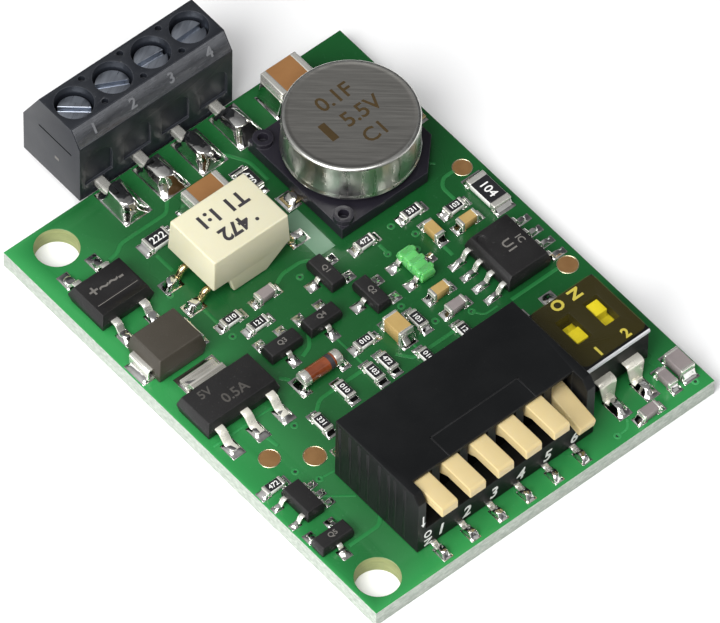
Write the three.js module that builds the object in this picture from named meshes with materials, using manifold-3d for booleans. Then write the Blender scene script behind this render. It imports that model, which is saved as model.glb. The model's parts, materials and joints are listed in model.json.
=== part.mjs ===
// Control board with a four-pole screw terminal, a six-lever piano switch, a two-way slide switch,
// a coin supercapacitor, a small transformer and surface-mount parts. Millimetres, +Z up.
// The origin is the centre of the board's underside. +X runs along the piano switch, and +Y runs
// from the piano switch's edge to the terminal block's edge.
import * as THREE from "three";
import { mergeVertices } from "three/addons/utils/BufferGeometryUtils.js";
import Module from "manifold-3d";

const wasm = await Module();
wasm.setup();

// ---- Driving dimensions. Places on the board are measured from its front left corner, and
// heights from its top surface.
const board = { width: 31, depth: 40.4, thickness: 1.5, holeRadius: 1.65 };
const mountingHoles = [[2.1, 2.3], [3.15, 38.3]];
const seat = 0.05; // how far a soldered part's body stands off the board

const terminal = {
  poles: 4, pitch: 3.5, centreX: 14.15, frontY: 40.6, depth: 6.25, bottom: -0.3, top: 6.95,
  frontChamferY: 0.95, frontChamferZ: 1.5, backChamferY: 1.75, backChamferZ: 3.2,
  screwY: 43.3, wellRadius: 1.45, ledge: 4.95,
};
const chamber = { halfWidth: 1.35, frontY: 41.7, backY: 45.1, low: 0.4, high: 4.7 };
const wireEntry = { halfWidth: 1.3, low: 0.55, high: 3.15 };
const archRecess = { halfWidth: 1.25, low: 1.1, shoulder: 2.9, depth: 0.2 };
const keying = { offset: 1.3, radius: 0.26, depth: 0.5 };
const screw = { headRadius: 1.25, headLow: 5.05, headHigh: 6.15, shankRadius: 0.78, tip: 2.85,
  clearance: 0.15 };
const screwSlot = { width: 0.42, depth: 0.5, angles: [-41, -28, -4, 2] };
const cage = { halfWidth: 1.25, frontY: 42.3, backY: 44.7, low: 0.7, high: 3.4, side: 0.3,
  floor: 0.35, roof: 0.6, threadGap: 0.22 };
const pin = { halfWidth: 0.4, tipY: 38.4, low: 0.3, high: 0.95, riserFront: 41.85, riserBack: 42.15,
  plateLow: 2.35, plateHigh: 2.7, plateBack: 44.5, clearance: 0.1 };

const piano = {
  left: 5.45, right: 21.55, front: 2.05, back: 10.85, low: 0.1, top: 6.25, endWall: 0.75,
  frontWall: 0.75, backWall: 0.65, ledge: 2.3, ledgeThickness: 0.8, wallY: 3.6, wallThickness: 0.5,
  roof: 0.3, slotWidth: 1.8, underGap: 0.65, bevelY: 0.55, bevelZ: 0.75,
};
const pianoBase = { gap: 0.15, front: 2.95, low: 0.15, high: 1.35 };
const lever = { count: 6, pitch: 2.54, centreX: 13.45, width: 1.45, pivotY: 9.7, pivotZ: 5.2,
  top: 5.85, tipY: 0.6, tipThickness: 0.9, tipEdge: 0.15, rootY: 3.0, heelY: 4.4, belly: 4.25,
  bellyEnd: 7.7, hub: 0.4, pressed: 12.5 };

const slide = {
  left: 22.65, right: 28.5, front: 4.25, back: 10.4, low: 0.5, top: 3.95, pitch: 2.54,
  centreX: 25.65, windowHalf: 0.65, windowFront: 6.35, windowBack: 8.8,
  pocketHalf: 0.85, pocketFront: 5.4, pocketBack: 9.75, pocketLow: 2.15, pocketHigh: 3.05,
};
const knob = { half: 0.52, length: 1.15, top: 3.75, plateHalf: 0.75, plateLength: 3, plateLow: 2.3,
  plateHigh: 2.9, restY: [7.1, 8.05] };
const film = { thickness: 0.07, inset: 0.15, gap: 0.02 };

const supercap = {
  x: 24.13, y: 31.15, side: 10.3, cornerCut: 2.4, plateLow: 0.1, plateHigh: 1.2, platform: 4.6,
  platformHigh: 1.6, postRadius: 0.75, postHigh: 1.65, postInset: 0.75, postHole: 0.4,
  postHoleDepth: 0.7, canRadius: 5.05, canLow: 1.7, canHigh: 5.05, rim: 0.4, wall: 0.3,
};
const supercapCell = { radius: 4.5, low: 1.8, high: 4.6 };

const transformer = {
  x: 11.87, y: 29.9, width: 7.05, depth: 5.2, sideLow: 1.6, low: 0.15, high: 4.6, draft: 0.16,
  skirtLeft: [-2.02, -1.67], skirtRight: [1.33, 3.28], wall: 0.5,
};
const core = { halfWidth: 2.6, halfDepth: 0.9, low: 0.9, high: 3.75, leg: 0.72, limb: 0.65, yoke: 0.6 };
const winding = { halfWidth: 1.78, halfDepth: 1.85, low: 1.62, high: 3.03, gap: 0.08 };

// Moulded bodies: centre x, y, size along x, y and z, and how far the faces draw in at the top.
const moulded = {
  bridge_rectifier: [3.13, 32.3, 4.7, 3.8, 1.6, 0.3],
  power_diode: [3.12, 26.2, 4.3, 3.6, 2.3, 0.28],
  regulator_body: [3.72, 20.25, 6.5, 3.5, 1.65, 0.25],
  driver_chip: [26.8, 17.25, 3.9, 4.85, 1.55, 0.2],
  supervisor_chip: [2.05, 10.2, 1.6, 2.9, 1.15, 0.12],
  transistor_1: [15.97, 24.2, 1.3, 2.9, 1.0, 0.1],
  transistor_2: [17.25, 20.75, 1.3, 2.9, 1.0, 0.1],
  transistor_3: [9.53, 21.3, 2.9, 1.3, 1.0, 0.1],
  transistor_4: [13.1, 21.3, 2.9, 1.3, 1.0, 0.1],
  transistor_5: [1.6, 6.5, 2.9, 1.3, 1.0, 0.1],
  status_led: [21.35, 20.8, 1.3, 2.9, 0.95, 0.12],
};
// Where a moulded body's parting line lies, as a share of its height, with the flat land above it,
// and how much less its lower half draws in.
const parting = { share: 0.45, land: 0.12, lowerDraft: 0.6 };
const rectifierGroove = { y: -0.75, length: 3.6, width: 0.14, depth: 0.08 };
const chipBevel = 0.4;
const pinOneDimple = { x: -1.05, y: 1.65, radius: 0.32, depth: 0.12 };
const tab = { x: 3.72, width: 3, thickness: 0.26, bodyY: 22.2, shoulderY: 22.45, footY: 22.75,
  endY: 23.75, shoulderZ: 0.95, footZ: 0.08 };
const glassDiode = { x: 10.2, y: 18.05, length: 3.5, capRadius: 0.75, capLength: 0.5, radius: 0.68 };

// Chip parts: centre x, y, size along x, y and z.
const chips = {
  sense_resistor: [29.55, 22.5, 1.6, 3.1, 0.55],
  resistor_0805_1: [8.9, 34.15, 2.0, 1.25, 0.5],
  resistor_0805_2: [17.2, 34.05, 1.25, 2.0, 0.5],
  bulk_capacitor_1: [24.42, 38.3, 3.2, 2.5, 2.45],
  bulk_capacitor_2: [13.55, 34.1, 3.2, 2.4, 2.05],
  capacitor_0805_1: [16.7, 17.3, 1.25, 2.0, 1.25],
  capacitor_0805_2: [29.8, 2.45, 1.25, 2.0, 1.0],
  capacitor_0603_1: [24.25, 22.3, 0.8, 1.6, 0.8],
  capacitor_0603_2: [26.7, 21.45, 1.6, 0.8, 0.8],
  capacitor_0603_3: [21.15, 18.0, 1.6, 0.8, 0.8],
  capacitor_0603_4: [21.2, 16.3, 1.6, 0.8, 0.7],
  capacitor_0603_5: [11.6, 25.6, 1.6, 0.8, 0.7],
  capacitor_0603_6: [25.55, 0.75, 1.6, 0.8, 0.7],
  capacitor_0603_7: [28.35, 2.1, 0.8, 1.6, 0.7],
};

const round = 40; // sides of a large round feature
const fine = 20; // sides of a small one
const curveSegments = 8; // chords along a curved stretch of an extruded outline
const past = 1; // how far a cutting tool runs past the face that it cuts
const lap = 0.1; // how far two joined solids reach into each other

// ---- Finishes
function finish(color, roughness, metalness) {
  return new THREE.MeshStandardMaterial({ color, roughness, metalness });
}
const maskGreen = () => finish(0x147a3c, 0.35, 0);
const terminalGrey = () => finish(0x2a2d33, 0.5, 0);
const blackPlastic = () => finish(0x1b1b1d, 0.5, 0);
const blackEpoxy = () => finish(0x1c1b1d, 0.55, 0);
const greyEpoxy = () => finish(0x554f47, 0.6, 0);
const ivory = () => finish(0xe0d29c, 0.4, 0);
const paleIvory = () => finish(0xdedbbe, 0.45, 0);
const yellow = () => finish(0xe3c51c, 0.4, 0);
const amber = () => finish(0x6b5a12, 0.2, 0);
const zinc = () => finish(0xa3abb5, 0.3, 0.9);
const tin = () => finish(0xcfcfc8, 0.25, 0.95);
const canSteel = () => finish(0x8c8c8a, 0.3, 0.95);
const carbon = () => finish(0x121212, 0.9, 0);
const ferrite = () => finish(0x303030, 0.7, 0.2);
const copper = () => finish(0xb86a33, 0.35, 0.9);
const orangeGlass = () => finish(0xb4501e, 0.1, 0);
const ledGreen = () => finish(0x5cc860, 0.3, 0);
const brownCeramic = () => finish(0xa5733f, 0.5, 0);
const tanCeramic = () => finish(0xc39a55, 0.5, 0);
const mauveCeramic = () => finish(0x83737a, 0.5, 0);

// ---- Solids
// A closed geometry becomes a manifold once only its positions are left and are merged.
function toSolid(geometry) {
  geometry.deleteAttribute("normal");
  geometry.deleteAttribute("uv");
  const merged = mergeVertices(geometry, 1e-5);
  const vertProperties = new Float32Array(merged.attributes.position.array);
  const triVerts = new Uint32Array(merged.index.array);
  return new wasm.Manifold(new wasm.Mesh({ numProp: 3, vertProperties, triVerts }));
}

function toGeometry(solid) {
  const mesh = solid.getMesh();
  const geometry = new THREE.BufferGeometry();
  geometry.setAttribute("position", new THREE.BufferAttribute(new Float32Array(mesh.vertProperties), 3));
  geometry.setIndex(new THREE.BufferAttribute(new Uint32Array(mesh.triVerts), 1));
  geometry.computeVertexNormals();
  return geometry;
}

// A block between two corners.
function block(x0, y0, z0, x1, y1, z1) {
  const box = new THREE.BoxGeometry(x1 - x0, y1 - y0, z1 - z0);
  box.translate((x0 + x1) / 2, (y0 + y1) / 2, (z0 + z1) / 2);
  return toSolid(box);
}

// An upright cylinder.
function post(x, y, z0, z1, radius, sides) {
  const cylinder = new THREE.CylinderGeometry(radius, radius, z1 - z0, sides);
  cylinder.rotateX(Math.PI / 2);
  cylinder.translate(x, y, (z0 + z1) / 2);
  return toSolid(cylinder);
}

function outline(points) {
  return new THREE.Shape(points.map(([a, b]) => new THREE.Vector2(a, b)));
}

// A y-z outline carried along x from x0 to x1.
function carriedAlongX(shape, x0, x1) {
  const geometry = new THREE.ExtrudeGeometry(shape, { depth: x1 - x0, bevelEnabled: false, curveSegments });
  geometry.applyMatrix4(new THREE.Matrix4().set(0, 0, 1, x0, 1, 0, 0, 0, 0, 1, 0, 0, 0, 0, 0, 1));
  return toSolid(geometry);
}

// An x-z outline carried along y from y0 to y1.
function carriedAlongY(shape, y0, y1) {
  const geometry = new THREE.ExtrudeGeometry(shape, { depth: y1 - y0, bevelEnabled: false, curveSegments });
  geometry.applyMatrix4(new THREE.Matrix4().set(1, 0, 0, 0, 0, 0, -1, y1, 0, 1, 0, 0, 0, 0, 0, 1));
  return toSolid(geometry);
}

function joined(solids) {
  return solids.reduce((sum, solid) => sum.add(solid));
}

// A moulded body's section: straight-sided at the parting line, drawing in above and below.
function mouldedSection(size, height, draft) {
  const half = size / 2;
  const foot = half - draft * parting.lowerDraft;
  const shoulder = half - draft;
  const low = height * parting.share;
  const high = low + parting.land;
  return outline([
    [-foot, 0], [foot, 0], [half, low], [half, high], [shoulder, height], [-shoulder, height],
    [-half, high], [-half, low],
  ]);
}

// A moulded body stands on z = 0: two drafted sections, one along each axis, cut by each other.
function mouldedBody(width, depth, height, draft) {
  const across = carriedAlongY(mouldedSection(width, height, draft), -depth, depth);
  const along = carriedAlongX(mouldedSection(depth, height, draft), -width, width);
  return across.intersect(along);
}

// ---- The assembly
const module = new THREE.Group();
const onBoard = new THREE.Group();
onBoard.position.set(-board.width / 2, -board.depth / 2, board.thickness);
module.add(onBoard);

function place(name, solid, material, x = 0, y = 0, z = 0) {
  const mesh = new THREE.Mesh(toGeometry(solid), material);
  mesh.name = name;
  mesh.position.set(x, y, z);
  onBoard.add(mesh);
  return mesh;
}

function makeBoard() {
  const plate = block(0, 0, -board.thickness, board.width, board.depth, 0);
  const low = -board.thickness - past;
  const holes = mountingHoles.map(([x, y]) => post(x, y, low, past, board.holeRadius, round));
  place("board", plate.subtract(joined(holes)), maskGreen());
}

// ---- Screw terminal block, hung on the board's back edge
function poleX(index) {
  return terminal.centreX + (index - (terminal.poles - 1) / 2) * terminal.pitch;
}

function archOutline() {
  const { halfWidth, low, shoulder } = archRecess;
  const shape = new THREE.Shape();
  shape.moveTo(-halfWidth, low);
  shape.lineTo(halfWidth, low);
  shape.lineTo(halfWidth, shoulder);
  shape.absarc(0, shoulder, halfWidth, 0, Math.PI, false);
  shape.closePath();
  return shape;
}

// What one pole takes out of the housing: screw well, clamp chamber, wire entry and pin slot.
function poleHollows(x) {
  const t = terminal;
  const c = chamber;
  const w = wireEntry;
  const backY = t.frontY + t.depth;
  const arch = carriedAlongY(archOutline(), t.frontY - past, t.frontY + archRecess.depth);
  const slotHalf = pin.halfWidth + pin.clearance;
  const slotLow = pin.low - pin.clearance;
  const slotHigh = pin.high + pin.clearance;
  return joined([
    post(x, t.screwY, t.ledge, t.top + past, t.wellRadius, round),
    post(x, t.screwY, c.high - past, t.ledge + past, screw.shankRadius + screw.clearance, fine),
    block(x - c.halfWidth, c.frontY, c.low, x + c.halfWidth, c.backY, c.high),
    block(x - w.halfWidth, c.backY - past, w.low, x + w.halfWidth, backY + past, w.high),
    block(x - slotHalf, t.frontY - past, slotLow, x + slotHalf, c.frontY + past, slotHigh),
    arch.translate([x, 0, 0]),
  ]);
}

// Small keying holes in the top, in front of and behind the gaps between screws.
function keyingHoles() {
  const t = terminal;
  const holes = [];
  for (let index = 0; index < t.poles - 1; index += 1) {
    const x = poleX(index) + t.pitch / 2;
    for (const offset of [-keying.offset, keying.offset]) {
      holes.push(post(x, t.screwY + offset, t.top - keying.depth, t.top + past, keying.radius, fine));
    }
  }
  return joined(holes);
}

function makeTerminalHousing() {
  const t = terminal;
  const y0 = t.frontY;
  const y1 = t.frontY + t.depth;
  const halfLength = (t.poles * t.pitch) / 2;
  const section = outline([
    [y0, t.bottom], [y1, t.bottom], [y1, t.top - t.backChamferZ], [y1 - t.backChamferY, t.top],
    [y0 + t.frontChamferY, t.top], [y0, t.top - t.frontChamferZ],
  ]);
  let housing = carriedAlongX(section, t.centreX - halfLength, t.centreX + halfLength);
  for (let index = 0; index < t.poles; index += 1) {
    housing = housing.subtract(poleHollows(poleX(index)));
  }
  place("terminal_housing", housing.subtract(keyingHoles()), terminalGrey());
}

// A slotted screw stands on its own axis, so the turned slot is cut in its own frame.
function makeTerminalScrew(index) {
  const head = post(0, 0, screw.headLow, screw.headHigh, screw.headRadius, round);
  const shank = post(0, 0, screw.tip, screw.headLow + lap, screw.shankRadius, fine);
  const reach = screw.headRadius + past;
  const half = screwSlot.width / 2;
  const slot = block(-reach, -half, screw.headHigh - screwSlot.depth, reach, half, screw.headHigh + past);
  const solid = head.add(shank).subtract(slot.rotate([0, 0, screwSlot.angles[index]]));
  place(`terminal_screw_${index + 1}`, solid, zinc(), poleX(index), terminal.screwY, 0);
}

// The clamp cage is a square loop that the screw draws up around the contact plate.
function makeClampCage(index) {
  const x = poleX(index);
  const c = cage;
  const inner = c.halfWidth - c.side;
  const loop = block(x - c.halfWidth, c.frontY, c.low, x + c.halfWidth, c.backY, c.high);
  const front = c.frontY - past;
  const opening = block(x - inner, front, c.low + c.floor, x + inner, c.backY + past, c.high - c.roof);
  const threadRadius = screw.shankRadius + c.threadGap;
  const thread = post(x, terminal.screwY, c.high - c.roof - past / 2, c.high + past, threadRadius, fine);
  place(`clamp_cage_${index + 1}`, loop.subtract(opening).subtract(thread), zinc());
}

// The solder pin runs over its pad, through the front wall, up, and back over the wire as a plate.
function makeTerminalPin(index) {
  const p = pin;
  const section = outline([
    [p.tipY, p.low], [p.riserBack, p.low], [p.riserBack, p.plateLow], [p.plateBack, p.plateLow],
    [p.plateBack, p.plateHigh], [p.riserFront, p.plateHigh], [p.riserFront, p.high], [p.tipY, p.high],
  ]);
  const x = poleX(index);
  place(`terminal_pin_${index + 1}`, carriedAlongX(section, x - p.halfWidth, x + p.halfWidth), tin());
}

// ---- Piano switch
function leverX(index) {
  return lever.centreX + (index - (lever.count - 1) / 2) * lever.pitch;
}

function makePianoHousing() {
  const p = piano;
  const innerLeft = p.left + p.endWall;
  const innerRight = p.right - p.endWall;
  const section = outline([
    [p.front, p.low], [p.back, p.low], [p.back, p.top], [p.front + p.bevelY, p.top],
    [p.front, p.top - p.bevelZ],
  ]);
  const inside = p.wallY + p.wallThickness;
  const ledgeLow = p.ledge - p.ledgeThickness;
  const hollows = [
    block(innerLeft, inside, p.low - past, innerRight, p.back - p.backWall, p.top - p.roof),
    block(innerLeft, p.front + p.frontWall, p.low - past, innerRight, inside + lap, ledgeLow),
    block(innerLeft, p.front - past, p.ledge, innerRight, p.wallY, p.top + past),
    block(innerLeft, p.wallY - lap, p.ledge, innerRight, inside + lap, p.ledge + p.underGap),
  ];
  for (let index = 0; index < lever.count; index += 1) {
    const left = leverX(index) - p.slotWidth / 2;
    hollows.push(block(left, p.wallY - lap, p.ledge, left + p.slotWidth, inside + lap, p.top - p.roof));
  }
  const housing = carriedAlongX(section, p.left, p.right).subtract(joined(hollows));
  place("piano_switch_housing", housing, blackPlastic());
}

function makePianoBase() {
  const p = piano;
  const inset = p.endWall + pianoBase.gap;
  const base = block(p.left + inset, pianoBase.front, pianoBase.low, p.right - inset,
    p.back - p.backWall - pianoBase.gap, pianoBase.high);
  place("piano_switch_base", base, blackPlastic());
}

// A lever's side view, drawn about its pivot: a hub at the back and a thin finger at the front.
function leverOutline() {
  const l = lever;
  const y = (value) => value - l.pivotY;
  const z = (value) => value - l.pivotZ;
  const shape = new THREE.Shape();
  shape.moveTo(0, z(l.top));
  shape.lineTo(y(l.tipY + l.tipEdge), z(l.top));
  shape.lineTo(y(l.tipY), z(l.top - l.tipEdge));
  shape.lineTo(y(l.tipY), z(l.top - l.tipThickness));
  shape.lineTo(y(l.rootY), z(l.top - l.tipThickness));
  shape.lineTo(y(l.heelY), z(l.belly));
  shape.lineTo(y(l.bellyEnd), z(l.belly));
  shape.lineTo(0, -l.hub);
  shape.absarc(0, 0, l.hub, -Math.PI / 2, Math.PI / 4, false);
  shape.closePath();
  return shape;
}

function makeLever(index, isPressed) {
  const solid = carriedAlongX(leverOutline(), -lever.width / 2, lever.width / 2);
  const mesh = place(`piano_lever_${index + 1}`, solid, ivory(), leverX(index), lever.pivotY, lever.pivotZ);
  mesh.rotation.x = isPressed ? THREE.MathUtils.degToRad(lever.pressed) : 0;
}

// ---- Slide switch
function knobX(index) {
  return slide.centreX + (index - 0.5) * slide.pitch;
}

function makeSlideHousing() {
  const s = slide;
  let housing = block(s.left, s.front, s.low, s.right, s.back, s.top);
  for (let index = 0; index < 2; index += 1) {
    const x = knobX(index);
    const half = s.windowHalf;
    const low = s.pocketHigh - lap;
    const window = block(x - half, s.windowFront, low, x + half, s.windowBack, s.top + past);
    const left = x - s.pocketHalf;
    const right = x + s.pocketHalf;
    const pocket = block(left, s.pocketFront, s.pocketLow, right, s.pocketBack, s.pocketHigh);
    housing = housing.subtract(window.add(pocket));
  }
  place("slide_switch_housing", housing, blackPlastic());
}

function makeKnob(index) {
  const k = knob;
  const reach = k.plateLength / 2;
  const plate = block(-k.plateHalf, -reach, k.plateLow, k.plateHalf, reach, k.plateHigh);
  const grip = block(-k.half, -k.length / 2, k.plateHigh - lap, k.half, k.length / 2, k.top);
  place(`slide_knob_${index + 1}`, plate.add(grip), yellow(), knobX(index), k.restY[index], 0);
}

function makeFilm() {
  const s = slide;
  const low = s.top + film.gap;
  const sheet = block(s.left, s.front + film.inset, low, s.right, s.back, low + film.thickness);
  place("slide_switch_film", sheet, amber());
}

// ---- Coin supercapacitor: moulded base with two corner posts, steel can, cell inside
function makeSupercapBase() {
  const c = supercap;
  const half = c.side / 2;
  const cut = half - c.cornerCut;
  const plan = outline([
    [-half, -half], [cut, -half], [half, -cut], [half, cut], [cut, half], [-half, half],
  ]);
  const depth = c.plateHigh - c.plateLow;
  const plate = toSolid(new THREE.ExtrudeGeometry(plan, { depth, bevelEnabled: false }));
  const platform = post(0, 0, c.plateLow, c.platformHigh, c.platform, round);
  let base = plate.translate([0, 0, c.plateLow]).add(platform);
  for (const side of [-1, 1]) {
    const y = side * (half - c.postInset);
    const x = -half + c.postInset;
    base = base.add(post(x, y, c.plateLow, c.postHigh, c.postRadius, fine));
    base = base.subtract(post(x, y, c.postHigh - c.postHoleDepth, c.postHigh + past, c.postHole, fine));
  }
  place("supercap_base", base, blackPlastic(), c.x, c.y, 0);
}

function latheSolid(profile, sides) {
  const points = profile.map(([r, z]) => new THREE.Vector2(r, z));
  const geometry = new THREE.LatheGeometry(points, sides);
  geometry.rotateX(Math.PI / 2);
  return toSolid(geometry);
}

// The can's wall section: outside up and over the rounded rim, then back down inside.
function makeSupercapCan() {
  const c = supercap;
  const rimArc = [0, 1, 2, 3, 4].map((step) => {
    const angle = (step / 4) * (Math.PI / 2);
    return [c.canRadius - c.rim + c.rim * Math.cos(angle), c.canHigh - c.rim + c.rim * Math.sin(angle)];
  });
  const profile = [
    [c.canRadius - c.wall, c.canLow], [c.canRadius, c.canLow], ...rimArc, [0, c.canHigh],
    [0, c.canHigh - c.wall], [c.canRadius - c.wall, c.canHigh - c.wall], [c.canRadius - c.wall, c.canLow],
  ];
  place("supercap_can", latheSolid(profile, round), canSteel(), c.x, c.y, 0);
}

function makeSupercapCell() {
  const cell = post(0, 0, supercapCell.low, supercapCell.high, supercapCell.radius, round);
  place("supercap_cell", cell, carbon(), supercap.x, supercap.y, 0);
}

// ---- Transformer: moulded case over a ferrite core and its winding
function makeTransformerCase() {
  const t = transformer;
  const half = t.width / 2;
  const front = outline([
    [-half, t.sideLow], [t.skirtLeft[0], t.sideLow], [t.skirtLeft[1], t.low], [t.skirtRight[0], t.low],
    [t.skirtRight[1], t.sideLow], [half, t.sideLow], [half - t.draft, t.high], [-half + t.draft, t.high],
  ]);
  const deep = t.depth / 2;
  const side = outline([[-deep, 0], [deep, 0], [deep - t.draft, t.high], [-deep + t.draft, t.high]]);
  const shell = carriedAlongY(front, -deep, deep).intersect(carriedAlongX(side, -half, half));
  const innerX = half - t.wall;
  const innerY = deep - t.wall;
  const inside = block(-innerX, -innerY, t.low - past, innerX, innerY, t.high - t.wall);
  place("transformer_case", shell.subtract(inside), paleIvory(), t.x, t.y, 0);
}

function makeTransformerCore() {
  const c = core;
  const windowHalf = c.halfWidth - c.limb;
  let body = block(-c.halfWidth, -c.halfDepth, c.low, c.halfWidth, c.halfDepth, c.high);
  for (const [x0, x1] of [[-windowHalf, -c.leg], [c.leg, windowHalf]]) {
    const reach = c.halfDepth + past;
    body = body.subtract(block(x0, -reach, c.low + c.yoke, x1, reach, c.high - c.yoke));
  }
  place("transformer_core", body, ferrite(), transformer.x, transformer.y, 0);
}

function makeTransformerWinding() {
  const w = winding;
  const innerX = core.leg + w.gap;
  const innerY = core.halfDepth + w.gap;
  const coil = block(-w.halfWidth, -w.halfDepth, w.low, w.halfWidth, w.halfDepth, w.high);
  const bore = block(-innerX, -innerY, w.low - past, innerX, innerY, w.high + past);
  place("transformer_winding", coil.subtract(bore), copper(), transformer.x, transformer.y, 0);
}

// ---- Moulded parts
function makeMoulded(name, material, extraCut) {
  const [x, y, width, depth, height, draft] = moulded[name];
  let body = mouldedBody(width, depth, height, draft);
  if (extraCut) {
    body = body.subtract(extraCut(width, depth, height));
  }
  place(name, body, material, x, y, seat);
}

function rectifierCut(width, depth, height) {
  const g = rectifierGroove;
  const front = g.y - g.width / 2;
  return block(-g.length / 2, front, height - g.depth, g.length / 2, front + g.width, height + past);
}

// The pin-one side of the eight-pin chip has a bevelled top edge, and its corner a round dimple.
function chipCut(width, depth, height) {
  const d = pinOneDimple;
  const reach = chipBevel + past;
  const bevel = carriedAlongY(outline([
    [-width / 2 - past, height - reach], [-width / 2 + reach, height + past],
    [-width / 2 - past, height + past],
  ]), -depth, depth);
  return bevel.add(post(d.x, d.y, height - d.depth, height + past, d.radius, fine));
}

function makeRegulatorTab() {
  const t = tab;
  const section = outline([
    [t.bodyY, t.shoulderZ - t.thickness], [t.shoulderY, t.shoulderZ - t.thickness], [t.footY, t.footZ],
    [t.endY, t.footZ], [t.endY, t.footZ + t.thickness], [t.footY + t.thickness, t.footZ + t.thickness],
    [t.shoulderY + t.thickness, t.shoulderZ], [t.bodyY, t.shoulderZ],
  ]);
  place("regulator_tab", carriedAlongX(section, t.x - t.width / 2, t.x + t.width / 2), tin());
}

function makeGlassDiode() {
  const g = glassDiode;
  const half = g.length / 2;
  const profile = [
    [0, -half], [g.capRadius, -half], [g.capRadius, -half + g.capLength], [g.radius, -half + g.capLength],
    [g.radius, half - g.capLength], [g.capRadius, half - g.capLength], [g.capRadius, half], [0, half],
  ];
  const solid = latheSolid(profile, fine).rotate([0, 90, 0]);
  place("glass_diode", solid, orangeGlass(), g.x, g.y, g.capRadius + seat);
}

function makeChip(name, material) {
  const [x, y, width, depth, height] = chips[name];
  place(name, block(-width / 2, -depth / 2, seat, width / 2, depth / 2, seat + height), material, x, y, 0);
}

makeBoard();
makeTerminalHousing();
for (let index = 0; index < terminal.poles; index += 1) {
  makeTerminalScrew(index);
  makeClampCage(index);
  makeTerminalPin(index);
}
makePianoHousing();
makePianoBase();
for (let index = 0; index < lever.count; index += 1) {
  makeLever(index, index === lever.count - 1);
}
makeSlideHousing();
makeFilm();
for (let index = 0; index < 2; index += 1) {
  makeKnob(index);
}
makeSupercapBase();
makeSupercapCan();
makeSupercapCell();
makeTransformerCase();
makeTransformerCore();
makeTransformerWinding();
makeMoulded("bridge_rectifier", blackEpoxy(), rectifierCut);
makeMoulded("power_diode", greyEpoxy());
makeMoulded("regulator_body", blackEpoxy());
makeRegulatorTab();
makeMoulded("driver_chip", blackEpoxy(), chipCut);
makeMoulded("supervisor_chip", blackEpoxy());
for (let index = 1; index <= 5; index += 1) {
  makeMoulded(`transistor_${index}`, blackEpoxy());
}
makeMoulded("status_led", ledGreen());
makeGlassDiode();
makeChip("sense_resistor", blackEpoxy());
makeChip("resistor_0805_1", blackEpoxy());
makeChip("resistor_0805_2", blackEpoxy());
makeChip("bulk_capacitor_1", brownCeramic());
makeChip("bulk_capacitor_2", brownCeramic());
makeChip("capacitor_0805_1", tanCeramic());
makeChip("capacitor_0805_2", mauveCeramic());
for (let index = 1; index <= 7; index += 1) {
  makeChip(`capacitor_0603_${index}`, index <= 3 ? tanCeramic() : mauveCeramic());
}

export default module;
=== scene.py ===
import json
import math

import bmesh
import bpy
import numpy as np
from mathutils import Matrix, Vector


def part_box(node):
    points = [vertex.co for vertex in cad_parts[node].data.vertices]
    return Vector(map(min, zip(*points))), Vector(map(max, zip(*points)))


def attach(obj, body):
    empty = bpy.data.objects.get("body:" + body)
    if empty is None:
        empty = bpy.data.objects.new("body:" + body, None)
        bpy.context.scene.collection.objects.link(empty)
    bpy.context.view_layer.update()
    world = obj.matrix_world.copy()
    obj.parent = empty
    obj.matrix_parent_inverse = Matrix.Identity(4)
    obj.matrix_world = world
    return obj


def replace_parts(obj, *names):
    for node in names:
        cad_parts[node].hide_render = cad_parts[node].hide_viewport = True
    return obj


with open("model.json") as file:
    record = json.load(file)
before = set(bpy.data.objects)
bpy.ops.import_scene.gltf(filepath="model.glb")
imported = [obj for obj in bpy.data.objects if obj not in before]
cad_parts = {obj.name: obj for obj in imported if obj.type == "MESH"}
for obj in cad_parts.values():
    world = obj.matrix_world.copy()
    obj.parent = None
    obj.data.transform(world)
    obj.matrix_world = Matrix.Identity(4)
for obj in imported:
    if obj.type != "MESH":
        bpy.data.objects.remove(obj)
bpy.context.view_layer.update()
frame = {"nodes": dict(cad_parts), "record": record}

mm = 0.001
boardLow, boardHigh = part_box("board")
# places are millimetres from the board's front left corner, heights are above its top face
boardCorner = np.array([boardLow.x, boardLow.y, boardHigh.z])
boardSize = (np.array(boardHigh) - np.array(boardLow)) / mm
bodyOf = {node: body for body, nodes in frame["record"]["behaviour"]["bodies"].items() for node in nodes}


def toFrame(points):
    # board millimetres times a thousandth, added to the board's corner
    return boardCorner + np.asarray(points, float) * mm


def span(node):
    # a CAD node's lowest and highest corner, in millimetres on the board
    low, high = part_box(node)
    return (np.array(low) - boardCorner) / mm, (np.array(high) - boardCorner) / mm


def middle(node):
    # half the sum of both corners
    low, high = span(node)
    return (low + high) / 2


# a surface is (points, [face blocks]), a face block holding faces with equally many corners

def gridFaces(rows, columns):
    # quads between neighbouring rows of points, the last column joined to the first
    row = np.arange(rows - 1)[:, None] * columns
    here = np.arange(columns)[None, :]
    after = (here + 1) % columns
    return np.stack([row + here, row + after, row + columns + after, row + columns + here], -1).reshape(-1, 4)


def closedTube(rings):
    # rings of points (rows, columns, 3) joined by quads, with one many-sided cap at each end
    rows, columns = rings.shape[:2]
    first = np.arange(columns)[None, ::-1]
    last = np.arange(columns)[None, :] + (rows - 1) * columns
    return rings.reshape(-1, 3), [gridFaces(rows, columns), first, last]


def roundedRing(halfX, halfY, radius, steps=3):
    # four quarter circles, each about its own corner of a smaller rectangle
    turn = np.linspace(0, np.pi / 2, steps + 1)
    angle = (np.arange(4)[:, None] * np.pi / 2 + turn).ravel()
    signX = np.repeat([1, -1, -1, 1], steps + 1)
    signY = np.repeat([1, 1, -1, -1], steps + 1)
    x = signX * (halfX - radius) + radius * np.cos(angle)
    y = signY * (halfY - radius) + radius * np.sin(angle)
    return np.stack([x, y], -1)


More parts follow.
